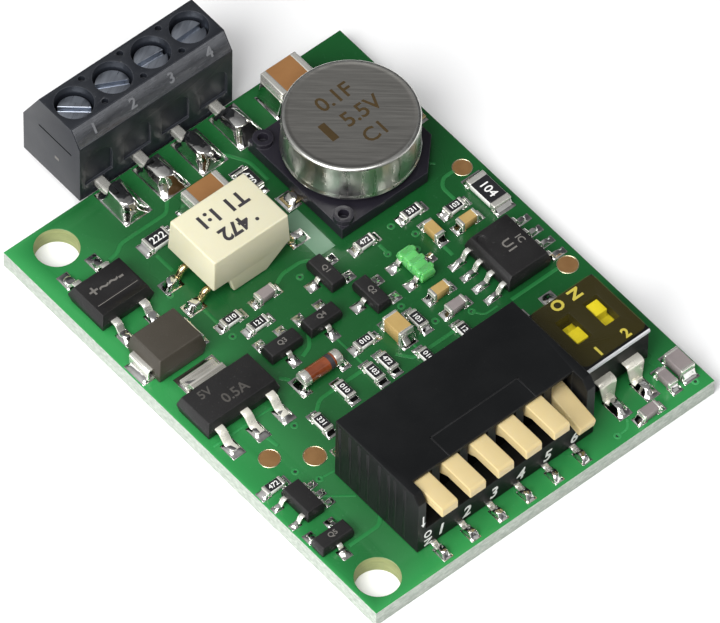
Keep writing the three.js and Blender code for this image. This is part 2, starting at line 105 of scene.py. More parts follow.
def edgeProfile(low, high, edge, draft=0.0, steps=3):
    # (inset, height) pairs: a quarter round up from the bottom, a straight side that draws in by the
    # draft, a quarter round onto the top, and a last step in so that the flat top stays flat
    turn = np.linspace(0, np.pi / 2, steps + 1)
    under = np.stack([edge * (1 - np.sin(turn)), low + edge * (1 - np.cos(turn))], -1)
    over = np.stack([draft + edge * (1 - np.cos(turn)), high - edge * (1 - np.sin(turn))], -1)
    return np.vstack([[2 * edge, low], under, over, [draft + 2 * edge, high]])


def ringedBody(centre, half, radius, profile, steps=3):
    # one rounded rectangle for each (inset, height) pair of the profile, joined into a closed body
    rings = []
    for inset, height in profile:
        ring = roundedRing(half[0] - inset, half[1] - inset, max(radius - inset, radius * 0.3), steps)
        rings.append(np.column_stack([ring + centre[:2], np.full(len(ring), height)]))
    return closedTube(np.array(rings))


def softBlock(low, high, edge, steps=2):
    # a box with a quarter round on every edge: rounded rectangles stacked up an edge profile
    low, high = np.asarray(low, float), np.asarray(high, float)
    profile = edgeProfile(low[2], high[2], edge, 0, steps)
    return ringedBody((low + high) / 2, (high - low)[:2] / 2, edge, profile, steps)


def turned(profile, centre, sides=32):
    # (radius, height) pairs turned about an upright axis: cosine and sine of even steps, times radius
    profile = np.asarray(profile, float)
    angle = np.arange(sides) * 2 * np.pi / sides
    circle = np.stack([np.cos(angle), np.sin(angle), np.zeros(sides)], -1)
    rings = profile[:, None, :1] * circle + profile[:, None, 1:] * np.array([0, 0, 1.0])
    return closedTube(rings + np.array([centre[0], centre[1], 0.0]))


def roundedPath(corners, bend, steps=4):
    # straight runs, with a short parabola in place of each inner corner
    corners = np.asarray(corners, float)
    runs = np.diff(corners, axis=0)
    lengths = np.linalg.norm(runs, axis=1, keepdims=True)
    along = runs / lengths
    cut = np.minimum(bend, 0.49 * np.minimum(lengths[:-1], lengths[1:]))
    t = np.linspace(0, 1, steps + 1)[None, :, None]
    corner = corners[1:-1, None, :]
    before = corner - (along[:-1] * cut)[:, None, :]
    after = corner + (along[1:] * cut)[:, None, :]
    arcs = (1 - t) ** 2 * before + 2 * t * (1 - t) * corner + t ** 2 * after
    return np.vstack([corners[:1], arcs.reshape(-1, 3), corners[-1:]])


def carried(path, section, side=None, spread=None):
    # a closed section carried along a path: its first number is measured sideways and its second
    # across, the side being fixed for a strip bent in one plane, or else level
    tangent = np.gradient(path, axis=0)
    tangent /= np.linalg.norm(tangent, axis=1, keepdims=True)
    if side is None:
        sideways = np.cross(tangent, [0, 0, 1.0])
        sideways /= np.linalg.norm(sideways, axis=1, keepdims=True)
    else:
        sideways = np.tile(np.asarray(side, float), (len(path), 1))
    across = np.cross(sideways, tangent)
    width = np.ones(len(path)) if spread is None else spread
    rings = path[:, None, :] + section[None, :, :1] * width[:, None, None] * sideways[:, None, :]
    return closedTube(rings + section[None, :, 1:] * across[:, None, :])


def circleRing(radius, sides=10):
    # the radius times the cosine and sine of even steps
    angle = np.arange(sides) * 2 * np.pi / sides
    return radius * np.stack([np.cos(angle), np.sin(angle)], -1)


chance = np.random.default_rng(7)


def solderJoint(foot, crown, height, hollow=1.7, wobble=0.1, rows=7, corner=0.18, steps=3, soften=0.1):
    # rings between a pad's outline and the joint's crown, both as (x0, y0, x1, y1); the height rises
    # along a power curve, or for no power along a power of the sine of t, which ends in a dome; slow
    # waves round each middle ring make it uneven, as frozen solder is
    low, domePower = padLook["thickness"], 1.35
    foot, crown = np.asarray(foot, float), np.asarray(crown, float)
    phase = chance.uniform(0, 2 * np.pi, 3)
    rings = []
    for t in np.linspace(0, 1, rows):
        outline = foot + (crown - foot) * t
        half = (outline[2:] - outline[:2]) / 2
        ring = roundedRing(half[0], half[1], min(corner + soften * t, 0.9 * min(half)), steps)
        angle = np.arctan2(ring[:, 1], ring[:, 0])
        swell = 4 * t * (1 - t) * wobble
        wave = 1 + swell * (np.sin(2 * angle + phase[0]) + 0.7 * np.sin(3 * angle + phase[1]))
        climb = t ** hollow if hollow else math.sin(math.pi / 2 * t) ** domePower
        rise = low + height * climb * (1 + 0.5 * wobble * t * np.sin(angle + phase[2]))
        rings.append(np.column_stack([ring * wave[:, None] + (outline[:2] + outline[2:]) / 2, rise]))
    return closedTube(np.array(rings))


def joined(surfaces):
    # points stacked, each surface's face numbers moved on by the points before it
    points, blocks, count = [], [], 0
    for own, faces in surfaces:
        points.append(own)
        blocks += [block + count for block in faces]
        count += len(own)
    return np.vstack(points), blocks


def finishPiece(mesh, name, finish, body, smoothAngle=None):
    # puts a mesh in the scene with its materials and its body
    piece = bpy.data.objects.new(name, mesh)
    bpy.context.scene.collection.objects.link(piece)
    for one in finish if isinstance(finish, (list, tuple)) else [finish]:
        mesh.materials.append(one)
    mesh.polygons.foreach_set("use_smooth", np.ones(len(mesh.polygons), bool))
    if smoothAngle:
        mesh.set_sharp_from_angle(angle=math.radians(smoothAngle))
    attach(piece, body)
    return piece


def addPiece(name, surfaces, finish, body="control_board", smoothAngle=50):
    # puts closed surfaces, given in millimetres on the board, into one mesh with its normals outwards
    points, blocks = joined(surfaces)
    mesh = bpy.data.meshes.new(name)
    mesh.from_pydata(toFrame(points).tolist(), [], [face for block in blocks for face in block.tolist()])
    shape = bmesh.new()
    shape.from_mesh(mesh)
    bmesh.ops.recalc_face_normals(shape, faces=shape.faces)
    shape.to_mesh(mesh)
    shape.free()
    return finishPiece(mesh, name, finish, body, smoothAngle)


def refined(node, edge, finish, merge=True, segments=3, angle=32):
    # a copy of a CAD node with its edges rounded, its triangles merged into whole faces first unless
    # those faces would have holes in them
    mesh = frame["nodes"][node].data.copy()
    mesh.materials.clear()
    shape = bmesh.new()
    shape.from_mesh(mesh)
    bmesh.ops.remove_doubles(shape, verts=shape.verts, dist=2e-7)
    if merge:
        flat = math.radians(0.6)
        bmesh.ops.dissolve_limit(shape, angle_limit=flat, verts=shape.verts, edges=shape.edges)
    shape.to_mesh(mesh)
    shape.free()
    piece = finishPiece(mesh, node + "_body", finish, bodyOf[node])
    bevel = piece.modifiers.new("rounded edges", "BEVEL")
    bevel.width = edge * mm
    bevel.segments = segments
    bevel.limit_method = "ANGLE"
    bevel.angle_limit = math.radians(angle)
    bevel.harden_normals = True
    bevel.miter_outer = "MITER_ARC"
    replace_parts(piece, node)
    return piece


def lettering(text, centre, height, along, up, depth=0.012, slant=0.0, bold=0.0):
    # letters as a closed surface: each point is its x along one direction of the face, its y along
    # the other and its thickness off it; a slant adds a share of y to x
    curve = bpy.data.curves.new("letters", "FONT")
    curve.body = text
    curve.align_x = "CENTER"
    curve.align_y = "CENTER"
    curve.size = 1.0
    curve.extrude = 0.5
    curve.resolution_u = 3
    curve.offset = bold
    holder = bpy.data.objects.new("letters", curve)
    bpy.context.scene.collection.objects.link(holder)
    bpy.context.view_layer.update()
    flat = bpy.data.meshes.new_from_object(holder.evaluated_get(bpy.context.evaluated_depsgraph_get()))
    points = np.zeros(len(flat.vertices) * 3)
    flat.vertices.foreach_get("co", points)
    flat.calc_loop_triangles()
    corners = np.zeros(len(flat.loop_triangles) * 3, int)
    flat.loop_triangles.foreach_get("vertices", corners)
    bpy.data.objects.remove(holder)
    bpy.data.curves.remove(curve)
    bpy.data.meshes.remove(flat)
    points = points.reshape(-1, 3)
    points[:, 1] -= (points[:, 1].max() + points[:, 1].min()) / 2
    scale = height / (points[:, 1].max() - points[:, 1].min())
    along, up = np.asarray(along, float), np.asarray(up, float)
    off = np.cross(along, up)
    x = (points[:, :1] + slant * points[:, 1:2]) * scale
    y = points[:, 1:2] * scale
    lifted = (points[:, 2:] + 0.5) * depth
    return np.asarray(centre) + x * along + y * up + lifted * off, [corners.reshape(-1, 3)]


def newGroup(name, inputs, outputs):
    # an empty shader group, built once and placed in the finishes with their own values
    group = bpy.data.node_groups.new(name, "ShaderNodeTree")
    for label, kind, value in inputs:
        group.interface.new_socket(label, in_out="INPUT", socket_type=kind).default_value = value
    for label in outputs:
        group.interface.new_socket(label, in_out="OUTPUT", socket_type="NodeSocketFloat")
    return group, group.nodes.new("NodeGroupInput"), group.nodes.new("NodeGroupOutput")


def addMath(tree, operation, first, second=0.0, clamp=False):
    # one sum, product or power of two sockets or numbers
    node = tree.nodes.new("ShaderNodeMath")
    node.operation = operation
    node.use_clamp = clamp
    for socket, value in zip(node.inputs, (first, second)):
        if isinstance(value, bpy.types.NodeSocket):
            tree.links.new(value, socket)
        else:
            socket.default_value = value
    return node.outputs[0]


def addNoise(tree, place, scale, detail=3.0, rough=0.55):
    # layers of smooth noise, from 0 to 1, at a number or a socket of blotches per metre
    node = tree.nodes.new("ShaderNodeTexNoise")
    node.inputs["Detail"].default_value = detail
    node.inputs["Roughness"].default_value = rough
    tree.links.new(place, node.inputs["Vector"])
    if isinstance(scale, bpy.types.NodeSocket):
        tree.links.new(scale, node.inputs["Scale"])
    else:
        node.inputs["Scale"].default_value = scale
    return node.outputs["Fac"]


def buildMouldGrain():
    # tone is slow blotches; height is fine pits plus a share of them
    group, start, end = newGroup("mouldGrain", [("Scale", "NodeSocketFloat", 4000.0),
                                                ("Blotch", "NodeSocketFloat", 300.0)], ["Tone", "Height"])
    place = group.nodes.new("ShaderNodeTexCoord").outputs["Object"]
    blotch = addNoise(group, place, start.outputs["Blotch"], 3.0)
    pits = addNoise(group, place, start.outputs["Scale"], 2.0)
    group.links.new(blotch, end.inputs["Tone"])
    share = addMath(group, "MULTIPLY", blotch, 0.6)
    group.links.new(addMath(group, "ADD", pits, share), end.inputs["Height"])
    return group


def buildEdgeWear():
    # one less the cosine between a rounded normal and the face's own, broken up by noise
    group, start, end = newGroup("edgeWear", [("Radius", "NodeSocketFloat", 0.00012),
                                              ("Strength", "NodeSocketFloat", 6.0)], ["Mask"])
    bevel = group.nodes.new("ShaderNodeBevel")
    bevel.samples = 4
    group.links.new(start.outputs["Radius"], bevel.inputs["Radius"])
    normal = group.nodes.new("ShaderNodeNewGeometry").outputs["Normal"]
    lean = group.nodes.new("ShaderNodeVectorMath")
    lean.operation = "DOT_PRODUCT"
    group.links.new(bevel.outputs["Normal"], lean.inputs[0])
    group.links.new(normal, lean.inputs[1])
    place = group.nodes.new("ShaderNodeTexCoord").outputs["Object"]
    patchy = addMath(group, "ADD", addNoise(group, place, 2500.0), 0.25)
    away = addMath(group, "MULTIPLY", addMath(group, "SUBTRACT", 1.0, lean.outputs["Value"]), patchy)
    group.links.new(addMath(group, "MULTIPLY", away, start.outputs["Strength"], True), end.inputs["Mask"])
    return group


def buildSettledDust():
    # specks where fine noise is high, plus a thin film, both times how far the face looks up
    group, start, end = newGroup("settledDust", [("Scale", "NodeSocketFloat", 5000.0),
                                                 ("Amount", "NodeSocketFloat", 0.5)], ["Mask"])
    place = group.nodes.new("ShaderNodeTexCoord").outputs["Object"]
    parts = group.nodes.new("ShaderNodeSeparateXYZ")
    group.links.new(group.nodes.new("ShaderNodeNewGeometry").outputs["Normal"], parts.inputs[0])
    upward = addMath(group, "MAXIMUM", parts.outputs["Z"], 0.0)
    fine = addNoise(group, place, start.outputs["Scale"], 4.0, 0.7)
    specks = addMath(group, "MULTIPLY", addMath(group, "SUBTRACT", fine, 0.62), 9.0, True)
    film = addMath(group, "MULTIPLY", addNoise(group, place, 500.0), 0.25)
    both = addMath(group, "MULTIPLY", addMath(group, "ADD", specks, film), upward)
    group.links.new(addMath(group, "MULTIPLY", both, start.outputs["Amount"], True), end.inputs["Mask"])
    return group


def buildDrawnLines():
    # noise on a place that is turned and then multiplied far more one way than another, as a brush or
    # a die leaves it
    group, start, end = newGroup("drawnLines", [("Stretch", "NodeSocketVector", (200.0, 9000.0, 200.0)),
                                                ("Turn", "NodeSocketVector", (0.0, 0.0, 0.0))],
                                 ["Tone", "Height"])
    place = group.nodes.new("ShaderNodeTexCoord").outputs["Object"]
    turnNode = group.nodes.new("ShaderNodeMapping")
    turnNode.vector_type = "TEXTURE"
    group.links.new(place, turnNode.inputs["Vector"])
    group.links.new(start.outputs["Turn"], turnNode.inputs["Rotation"])
    stretch = group.nodes.new("ShaderNodeVectorMath")
    stretch.operation = "MULTIPLY"
    group.links.new(turnNode.outputs[0], stretch.inputs[0])
    group.links.new(start.outputs["Stretch"], stretch.inputs[1])
    lines = addNoise(group, stretch.outputs[0], 1.0, 4.0, 0.7)
    group.links.new(addMath(group, "MULTIPLY", addMath(group, "SUBTRACT", lines, 0.25), 2.0, True),
                    end.inputs["Tone"])
    group.links.new(lines, end.inputs["Height"])
    return group


def buildPaintedLightNearEdge():
    # painted light and shade: the larger share of the way out to the left or front edge, or a part of that to
    # the other two, past a start and to a power, and faded again short of the front left corner; the board is
    # painted paler towards its edges, where the lamps light it more, and darker again at the front left
    # corner, where the light falls off
    group, start, end = newGroup("paintedLightNearEdge", [("HalfX", "NodeSocketFloat", 0.0155),
                                              ("HalfY", "NodeSocketFloat", 0.0202),
                                              ("Other", "NodeSocketFloat", 0.55)], ["Mask"])
    parts = group.nodes.new("ShaderNodeSeparateXYZ")
    group.links.new(group.nodes.new("ShaderNodeTexCoord").outputs["Object"], parts.inputs[0])
    x = addMath(group, "DIVIDE", parts.outputs["X"], start.outputs["HalfX"])
    y = addMath(group, "DIVIDE", parts.outputs["Y"], start.outputs["HalfY"])
    nearest = addMath(group, "MULTIPLY", addMath(group, "MINIMUM", x, y), -1.0)
    others = addMath(group, "MULTIPLY", addMath(group, "MAXIMUM", x, y), start.outputs["Other"])
    share = addMath(group, "MAXIMUM", nearest, others)
    scaled = addMath(group, "MULTIPLY", addMath(group, "SUBTRACT", share, 0.42), 1.72, True)
    past = addMath(group, "MULTIPLY", addMath(group, "ADD", addMath(group, "ADD", x, y), 0.95), -1.0, True)
    inner = addMath(group, "SUBTRACT", 1.0, addMath(group, "POWER", share, 7.0), True)
    faded = addMath(group, "MULTIPLY", addMath(group, "MULTIPLY", past, inner), 1.3)
    kept = addMath(group, "SUBTRACT", 1.0, faded, True)
    faded = addMath(group, "POWER", scaled, 1.5)
    group.links.new(addMath(group, "MULTIPLY", faded, kept), end.inputs["Mask"])
    return group


groups = {"grain": buildMouldGrain(), "wear": buildEdgeWear(), "dust": buildSettledDust(),
          "drawn": buildDrawnLines(), "paintedLightNearEdge": buildPaintedLightNearEdge()}
print("shader groups built:", len(groups))


def placeGroup(tree, key, **values):
    # a group node with this material's own values
    node = tree.nodes.new("ShaderNodeGroup")
    node.node_tree = groups[key]
    for label, value in values.items():
        node.inputs[label].default_value = value
    return node


def blended(tree, share, first, second):
    # a colour on its way from the first to the second by a mask
    node = tree.nodes.new("ShaderNodeMix")
    node.data_type = "RGBA"
    tree.links.new(share, node.inputs[0])
    for socket, value in ((node.inputs[6], first), (node.inputs[7], second)):
        if isinstance(value, bpy.types.NodeSocket):
            tree.links.new(value, socket)
        else:
            socket.default_value = (*value, 1.0)
    return node.outputs[2]


def between(tree, value, low, high):
    # a share from 0 to 1 stretched to run from low to high
    node = tree.nodes.new("ShaderNodeMapRange")
    tree.links.new(value, node.inputs["Value"])
    node.inputs["To Min"].default_value = low
    node.inputs["To Max"].default_value = high
    return node.outputs["Result"]


def bumped(tree, height, depth, strength):
    # a normal tilted by the slope of the height
    node = tree.nodes.new("ShaderNodeBump")
    node.inputs["Distance"].default_value = depth
    node.inputs["Strength"].default_value = strength
    tree.links.new(height, node.inputs["Height"])
    return node.outputs["Normal"]


# shader sockets that hold one value all over: their key in a look, and their usual value
plainSockets = [
    ("Metallic", "metallic", 0.0), ("Specular IOR Level", "specular", 0.5), ("Coat Weight", "coat", 0.0),
    ("Coat Roughness", "coatRough", 0.1), ("Transmission Weight", "clear", 0.0), ("IOR", "ior", 1.5),
    ("Subsurface Weight", "milky", 0.0), ("Subsurface Radius", "milkyRadius", (1.0, 0.8, 0.4)),
    ("Subsurface Scale", "milkyScale", 0.5 * mm), ("Alpha", "alpha", 1.0),
]


def makeFinish(name, look):
    # base colour blotched towards a second one, then dusted and worn at its edges; the same blotches
    # shift the roughness, and fine pits or drawn lines feed the bump
    finish = bpy.data.materials.new(name)
    finish.use_nodes = True
    tree = finish.node_tree
    shader = tree.nodes["Principled BSDF"]
    if "stretch" in look:
        grain = placeGroup(tree, "drawn", Stretch=look["stretch"], Turn=(0, 0, look.get("turn", 0.0)))
    else:
        grain = placeGroup(tree, "grain", Scale=look.get("grain", 5000.0), Blotch=look.get("blotch", 400.0))
    tone = grain.outputs["Tone"]
    colour = blended(tree, tone, look["colour"], look["second"])
    # painted light: a paler colour towards the board's left and front edges, where the lamps light it more
    if look.get("paintedLightColour"):
        colour = blended(tree, placeGroup(tree, "paintedLightNearEdge").outputs["Mask"], colour, look["paintedLightColour"])
    if look.get("dust"):
        dust = placeGroup(tree, "dust", Scale=look.get("dustScale", 6000.0), Amount=look["dust"])
        colour = blended(tree, dust.outputs["Mask"], colour, look.get("dustColour", (0.5, 0.5, 0.48)))
    if look.get("wear"):
        wear = placeGroup(tree, "wear", Radius=look.get("wearRadius", 0.0001), Strength=look["wear"])
        colour = blended(tree, wear.outputs["Mask"], colour, look["wearColour"])
    tree.links.new(colour, shader.inputs["Base Color"])
    tree.links.new(between(tree, tone, *look["rough"]), shader.inputs["Roughness"])
    tree.links.new(bumped(tree, grain.outputs["Height"], look.get("pit", 0.004) * mm, look.get("bump", 0.6)),
                   shader.inputs["Normal"])
    for socket, key, usual in plainSockets:
        shader.inputs[socket].default_value = look.get(key, usual)
    return finish


# a finish: two colours that blotches mix, lowest and highest roughness, and what else it has
looks = {
    "solderMask": {"colour": (0.004, 0.055, 0.010), "second": (0.008, 0.095, 0.022), "blotch": 90.0,
                   # this paler colour is painted light, for the board's edges that the lamps light more
                   "paintedLightColour": (0.028, 0.26, 0.065),
                   "grain": 2500.0, "rough": (0.20, 0.34), "pit": 0.004, "bump": 0.35, "dust": 0.06,
                   "dustScale": 3500.0, "dustColour": (0.25, 0.55, 0.35), "coat": 0.1, "specular": 0.4},
    "tracedMask": {"colour": (0.012, 0.125, 0.028), "second": (0.018, 0.165, 0.042), "blotch": 500.0,
                   # this paler colour is painted light, for the board's edges that the lamps light more
                   "paintedLightColour": (0.040, 0.31, 0.09),
                   "rough": (0.22, 0.34), "coat": 0.15},
    "tealMask": {"colour": (0.10, 0.20, 0.125), "second": (0.13, 0.24, 0.155), "rough": (0.25, 0.35)},
    "laminate": {"colour": (0.22, 0.27, 0.22), "second": (0.56, 0.60, 0.54), "rough": (0.5, 0.75),
                 "stretch": (2200.0, 2200.0, 5000.0), "pit": 0.02},
    "drilledLaminate": {"colour": (0.20, 0.24, 0.09), "second": (0.36, 0.38, 0.17), "rough": (0.6, 0.8),
                        "stretch": (800.0, 800.0, 6000.0), "pit": 0.02},
    "terminalPlastic": {"colour": (0.007, 0.0085, 0.0125), "second": (0.013, 0.0155, 0.0215), "grain": 7000.0,
                        "rough": (0.34, 0.5), "pit": 0.006, "dust": 0.13, "wear": 3.0,
                        "wearColour": (0.10, 0.105, 0.12), "specular": 0.36},
    "switchPlastic": {"colour": (0.0035, 0.004, 0.0045), "second": (0.007, 0.0075, 0.008), "grain": 6000.0,
                      "rough": (0.36, 0.52), "pit": 0.006, "dust": 0.015, "wear": 2.5,
                      "wearColour": (0.045, 0.045, 0.045), "specular": 0.2},
    "basePlastic": {"colour": (0.010, 0.009, 0.014), "second": (0.018, 0.016, 0.023), "specular": 0.35,
                    "grain": 5000.0, "rough": (0.3, 0.45), "pit": 0.008, "wear": 3.0,
                    "wearColour": (0.08, 0.078, 0.09)},
    "leverPlastic": {"colour": (0.56, 0.44, 0.21), "second": (0.62, 0.50, 0.27), "blotch": 250.0,
                     "rough": (0.35, 0.5), "pit": 0.004, "milky": 0.25, "dust": 0.06,
                     "dustColour": (0.4, 0.33, 0.2)},
    "knobPlastic": {"colour": (1.0, 0.78, 0.012), "second": (1.0, 0.86, 0.03), "rough": (0.35, 0.5)},
    "transformerPlastic": {"colour": (0.62, 0.585, 0.41), "second": (0.68, 0.65, 0.48), "blotch": 200.0,
                           "rough": (0.4, 0.55), "pit": 0.006, "milky": 0.2, "dust": 0.10,
                           "dustColour": (0.42, 0.40, 0.30)},
    "epoxy": {"colour": (0.006, 0.0056, 0.006), "second": (0.012, 0.0112, 0.0117), "grain": 9000.0,
              "rough": (0.40, 0.58), "pit": 0.012, "bump": 0.8, "dust": 0.06, "wear": 2.5, "specular": 0.35,
              "wearColour": (0.075, 0.07, 0.07)},
    "greyEpoxy": {"colour": (0.030, 0.025, 0.017), "second": (0.048, 0.040, 0.029), "grain": 9000.0,
                  "rough": (0.45, 0.6), "pit": 0.012, "bump": 0.8, "wear": 2.5,
                  "wearColour": (0.22, 0.20, 0.17), "dust": 0.08},
    "tin": {"colour": (0.84, 0.82, 0.74), "second": (0.95, 0.94, 0.88), "metallic": 0.78, "blotch": 900.0,
            "grain": 6000.0, "rough": (0.16, 0.32), "pit": 0.004},
    "creamTin": {"colour": (0.86, 0.83, 0.70), "second": (0.97, 0.95, 0.86), "metallic": 0.5, "blotch": 900.0,
                 "grain": 6000.0, "rough": (0.2, 0.34), "pit": 0.004},
    "bandedTin": {"colour": (0.48, 0.46, 0.40), "second": (0.92, 0.90, 0.83), "metallic": 0.75,
                  "stretch": (60.0, 3500.0, 3500.0), "rough": (0.2, 0.36), "pit": 0.006},
    # painted reflections: blotches between dark grey and white stand in for the dark and bright surroundings
    # that solder mirrors
    "solder": {"colour": (0.55, 0.54, 0.50), "second": (1.0, 1.0, 0.98), "metallic": 1.0, "blotch": 1100.0,
               "grain": 1500.0, "rough": (0.04, 0.13), "pit": 0.026, "bump": 0.8},
    "zinc": {"colour": (0.42, 0.46, 0.53), "second": (0.58, 0.62, 0.69), "metallic": 1.0,
             "stretch": (500.0, 6000.0, 500.0), "turn": 0.5, "rough": (0.24, 0.42), "pit": 0.006},
    # painted shade: a darker colour than the drawn side, for the dim reflection on the can's top
    "brushedShadedCan": {"colour": (0.35, 0.34, 0.315), "second": (0.43, 0.42, 0.39), "metallic": 1.0,
                   "stretch": (260.0, 9000.0, 260.0), "turn": -math.radians(41.3), "rough": (0.34, 0.5),
                   "pit": 0.004},
    "drawnCan": {"colour": (0.60, 0.60, 0.56), "second": (0.74, 0.74, 0.70), "metallic": 1.0,
                 "stretch": (1500.0, 1500.0, 120.0), "rough": (0.24, 0.34), "pit": 0.003},
    "bareCopper": {"colour": (0.26, 0.13, 0.045), "second": (0.36, 0.20, 0.08), "metallic": 0.55,
                   "blotch": 1200.0, "rough": (0.4, 0.6), "pit": 0.01},
    "paleGold": {"colour": (0.80, 0.72, 0.45), "second": (0.92, 0.86, 0.62), "metallic": 1.0,
                 "rough": (0.2, 0.35)},
    "goldWire": {"colour": (0.70, 0.48, 0.16), "second": (0.92, 0.80, 0.50), "metallic": 1.0,
                 "blotch": 1500.0, "rough": (0.14, 0.3), "pit": 0.01},
    "alumina": {"colour": (0.70, 0.70, 0.66), "second": (0.82, 0.82, 0.78), "rough": (0.4, 0.6)},
    "overglaze": {"colour": (0.010, 0.010, 0.012), "second": (0.018, 0.018, 0.020), "rough": (0.25, 0.4)},
    "brownCeramic": {"colour": (0.23, 0.105, 0.034), "second": (0.29, 0.14, 0.048), "blotch": 900.0,
                     "rough": (0.42, 0.55), "pit": 0.008},
    "tanCeramic": {"colour": (0.37, 0.24, 0.08), "second": (0.46, 0.32, 0.115), "blotch": 900.0,
                   "rough": (0.42, 0.55), "pit": 0.008},
    "mauveCeramic": {"colour": (0.19, 0.165, 0.165), "second": (0.27, 0.235, 0.23), "blotch": 900.0,
                     "rough": (0.42, 0.55), "pit": 0.008},
    "whiteInk": {"colour": (0.74, 0.74, 0.72), "second": (0.88, 0.88, 0.86), "rough": (0.5, 0.7)},
    "dimInk": {"colour": (0.045, 0.042, 0.038), "second": (0.075, 0.07, 0.063), "rough": (0.5, 0.7)},
    "greyInk": {"colour": (0.115, 0.108, 0.10), "second": (0.18, 0.17, 0.155), "rough": (0.5, 0.7)},
    "blackInk": {"colour": (0.02, 0.018, 0.022), "second": (0.05, 0.045, 0.05), "rough": (0.4, 0.6)},
    "brownInk": {"colour": (0.030, 0.017, 0.002), "second": (0.060, 0.034, 0.006), "rough": (0.5, 0.7)},
    "yellowInk": {"colour": (0.42, 0.34, 0.04), "second": (0.54, 0.46, 0.07), "rough": (0.5, 0.7)},
    # painted shade: a flat dark colour for the shade inside via holes
    "paintedHoleShade": {"colour": (0.004, 0.02, 0.008), "second": (0.006, 0.03, 0.012), "rough": (0.6, 0.8)},
    "seamShade": {"colour": (0.0006, 0.0006, 0.0008), "second": (0.0012, 0.0012, 0.0015), "rough": (0.8, 0.9),
                  "specular": 0.05},
    # scuffs and painted sheen: the chamfer slab's lighter colour
    "scuffedSheenFace": {"colour": (0.010, 0.011, 0.014), "second": (0.060, 0.064, 0.072), "rough": (0.2, 0.34),
                    "stretch": (350.0, 1800.0, 1800.0), "pit": 0.01, "wear": 2.0, "coat": 0.25,
                    "wearColour": (0.2, 0.205, 0.22), "dust": 0.12},
    # painted highlight: a grey colour for digits moulded in black plastic
    "embossedHighlight": {"colour": (0.10, 0.105, 0.115), "second": (0.20, 0.205, 0.215), "rough": (0.08, 0.22),
                 "coat": 0.8},
    "ledResin": {"colour": (0.10, 0.52, 0.12), "second": (0.20, 0.70, 0.22), "rough": (0.12, 0.25),
                 "milky": 0.6, "coat": 0.5, "clear": 0.25},
    "amberFilm": {"colour": (0.11, 0.088, 0.010), "second": (0.13, 0.104, 0.014), "rough": (0.05, 0.1),
                  "alpha": 0.12, "pit": 0.001},
    # painted highlight: clear plastic given an opaque pale grey for the highlights along its edge
    "clearPlasticPaintedHighlight": {"colour": (0.42, 0.43, 0.45), "second": (0.85, 0.85, 0.87), "rough": (0.08, 0.2),
                     "stretch": (60.0, 3000.0, 3000.0), "specular": 0.8},
    "orangeGlass": {"colour": (0.06, 0.010, 0.004), "second": (0.30, 0.075, 0.025), "rough": (0.03, 0.08),
                    "coat": 1.0, "coatRough": 0.03, "blotch": 900.0},
    "ferrite": {"colour": (0.03, 0.03, 0.03), "second": (0.06, 0.06, 0.06), "rough": (0.5, 0.7)},
    "copperWire": {"colour": (0.55, 0.22, 0.09), "second": (0.75, 0.36, 0.16), "metallic": 1.0,
                   "stretch": (300.0, 300.0, 7000.0), "rough": (0.25, 0.4), "pit": 0.01},
}
finishes = {name: makeFinish(name, look) for name, look in looks.items()}
print("finishes made:", len(finishes))


boardLook = {"edge": 0.05, "trace": 0.3, "thin": 0.18, "lift": 0.022, "bend": 0.35, "rim": 0.05,
             "patchLow": (16.7, 25.9, 0), "patchHigh": (18.3, 30.1, 0.03), "patchEdge": 0.012}


def makeBoard():
    # mask on the faces that lie level, bare laminate on its rim, and drilled laminate in its holes
    board = refined("board", boardLook["edge"],
                    [finishes["solderMask"], finishes["laminate"], finishes["drilledLaminate"]],
                    segments=2)
    mesh = board.data
    normals = np.zeros(len(mesh.polygons) * 3)
    centres = np.zeros(len(mesh.polygons) * 3)
    mesh.polygons.foreach_get("normal", normals)
    mesh.polygons.foreach_get("center", centres)
    centres = (centres.reshape(-1, 3) - boardCorner) / mm
    upright = np.abs(normals.reshape(-1, 3)[:, 2]) < 0.5
    rim = boardLook["rim"]
    inside = np.all((centres[:, :2] > rim) & (centres[:, :2] < boardSize[:2] - rim), axis=1)
    index = np.where(upright, np.where(inside, 2, 1), 0)
    mesh.polygons.foreach_set("material_index", index.astype(np.int32))


# copper runs under the mask: corner points in millimetres
traceRoutes = [
    [(5.3, 35.1), (6.1, 35.2), (6.8, 35.7), (11.0, 35.7), (12.0, 36.8)],
    [(7.6, 25.5), (7.6, 27.5)],
    [(8.1, 31.5), (8.1, 33.3)],
    [(13.0, 26.0), (13.8, 26.4), (15.5, 26.4), (16.2, 26.0)],
    [(7.9, 15.7), (8.8, 16.4), (12.7, 16.4)],
    [(15.4, 16.0), (16.2, 14.9), (20.0, 14.9)],
    [(24.7, 14.4), (29.0, 14.4)],
    [(27.4, 23.5), (27.4, 25.0), (28.0, 25.6), (29.0, 25.6)],
    [(3.8, 17.0), (4.0, 15.2)],
    [(24.1, 21.0), (24.1, 20.0)],
    [(20.7, 24.0), (20.7, 23.0)],
    [(2.3, 5.55), (5.0, 5.55), (5.8, 6.3), (5.8, 8.6)],
    [(10.3, 20.0), (11.2, 20.3), (11.9, 21.3)],
    [(7.8, 19.6), (8.3, 19.0), (8.3, 18.4)],
    [(17.3, 37.4), (18.4, 35.5), (18.4, 33.4)],
]
thinRoutes = [
    [(0.5, 18.0), (6.0, 18.0)],
    [(3.5, 10.0), (5.4, 8.5)],
    [(4.4, 11.2), (6.2, 11.0)],
    [(13.1, 16.3), (13.1, 19.6)],
    [(16.9, 15.3), (16.9, 16.2)],
    [(21.9, 15.4), (22.4, 14.6), (23.6, 14.6)],
    [(22.65, 0.75), (23.6, 0.75), (24.1, 1.4)],
    [(28.4, 26.9), (27.2, 28.2)],
]


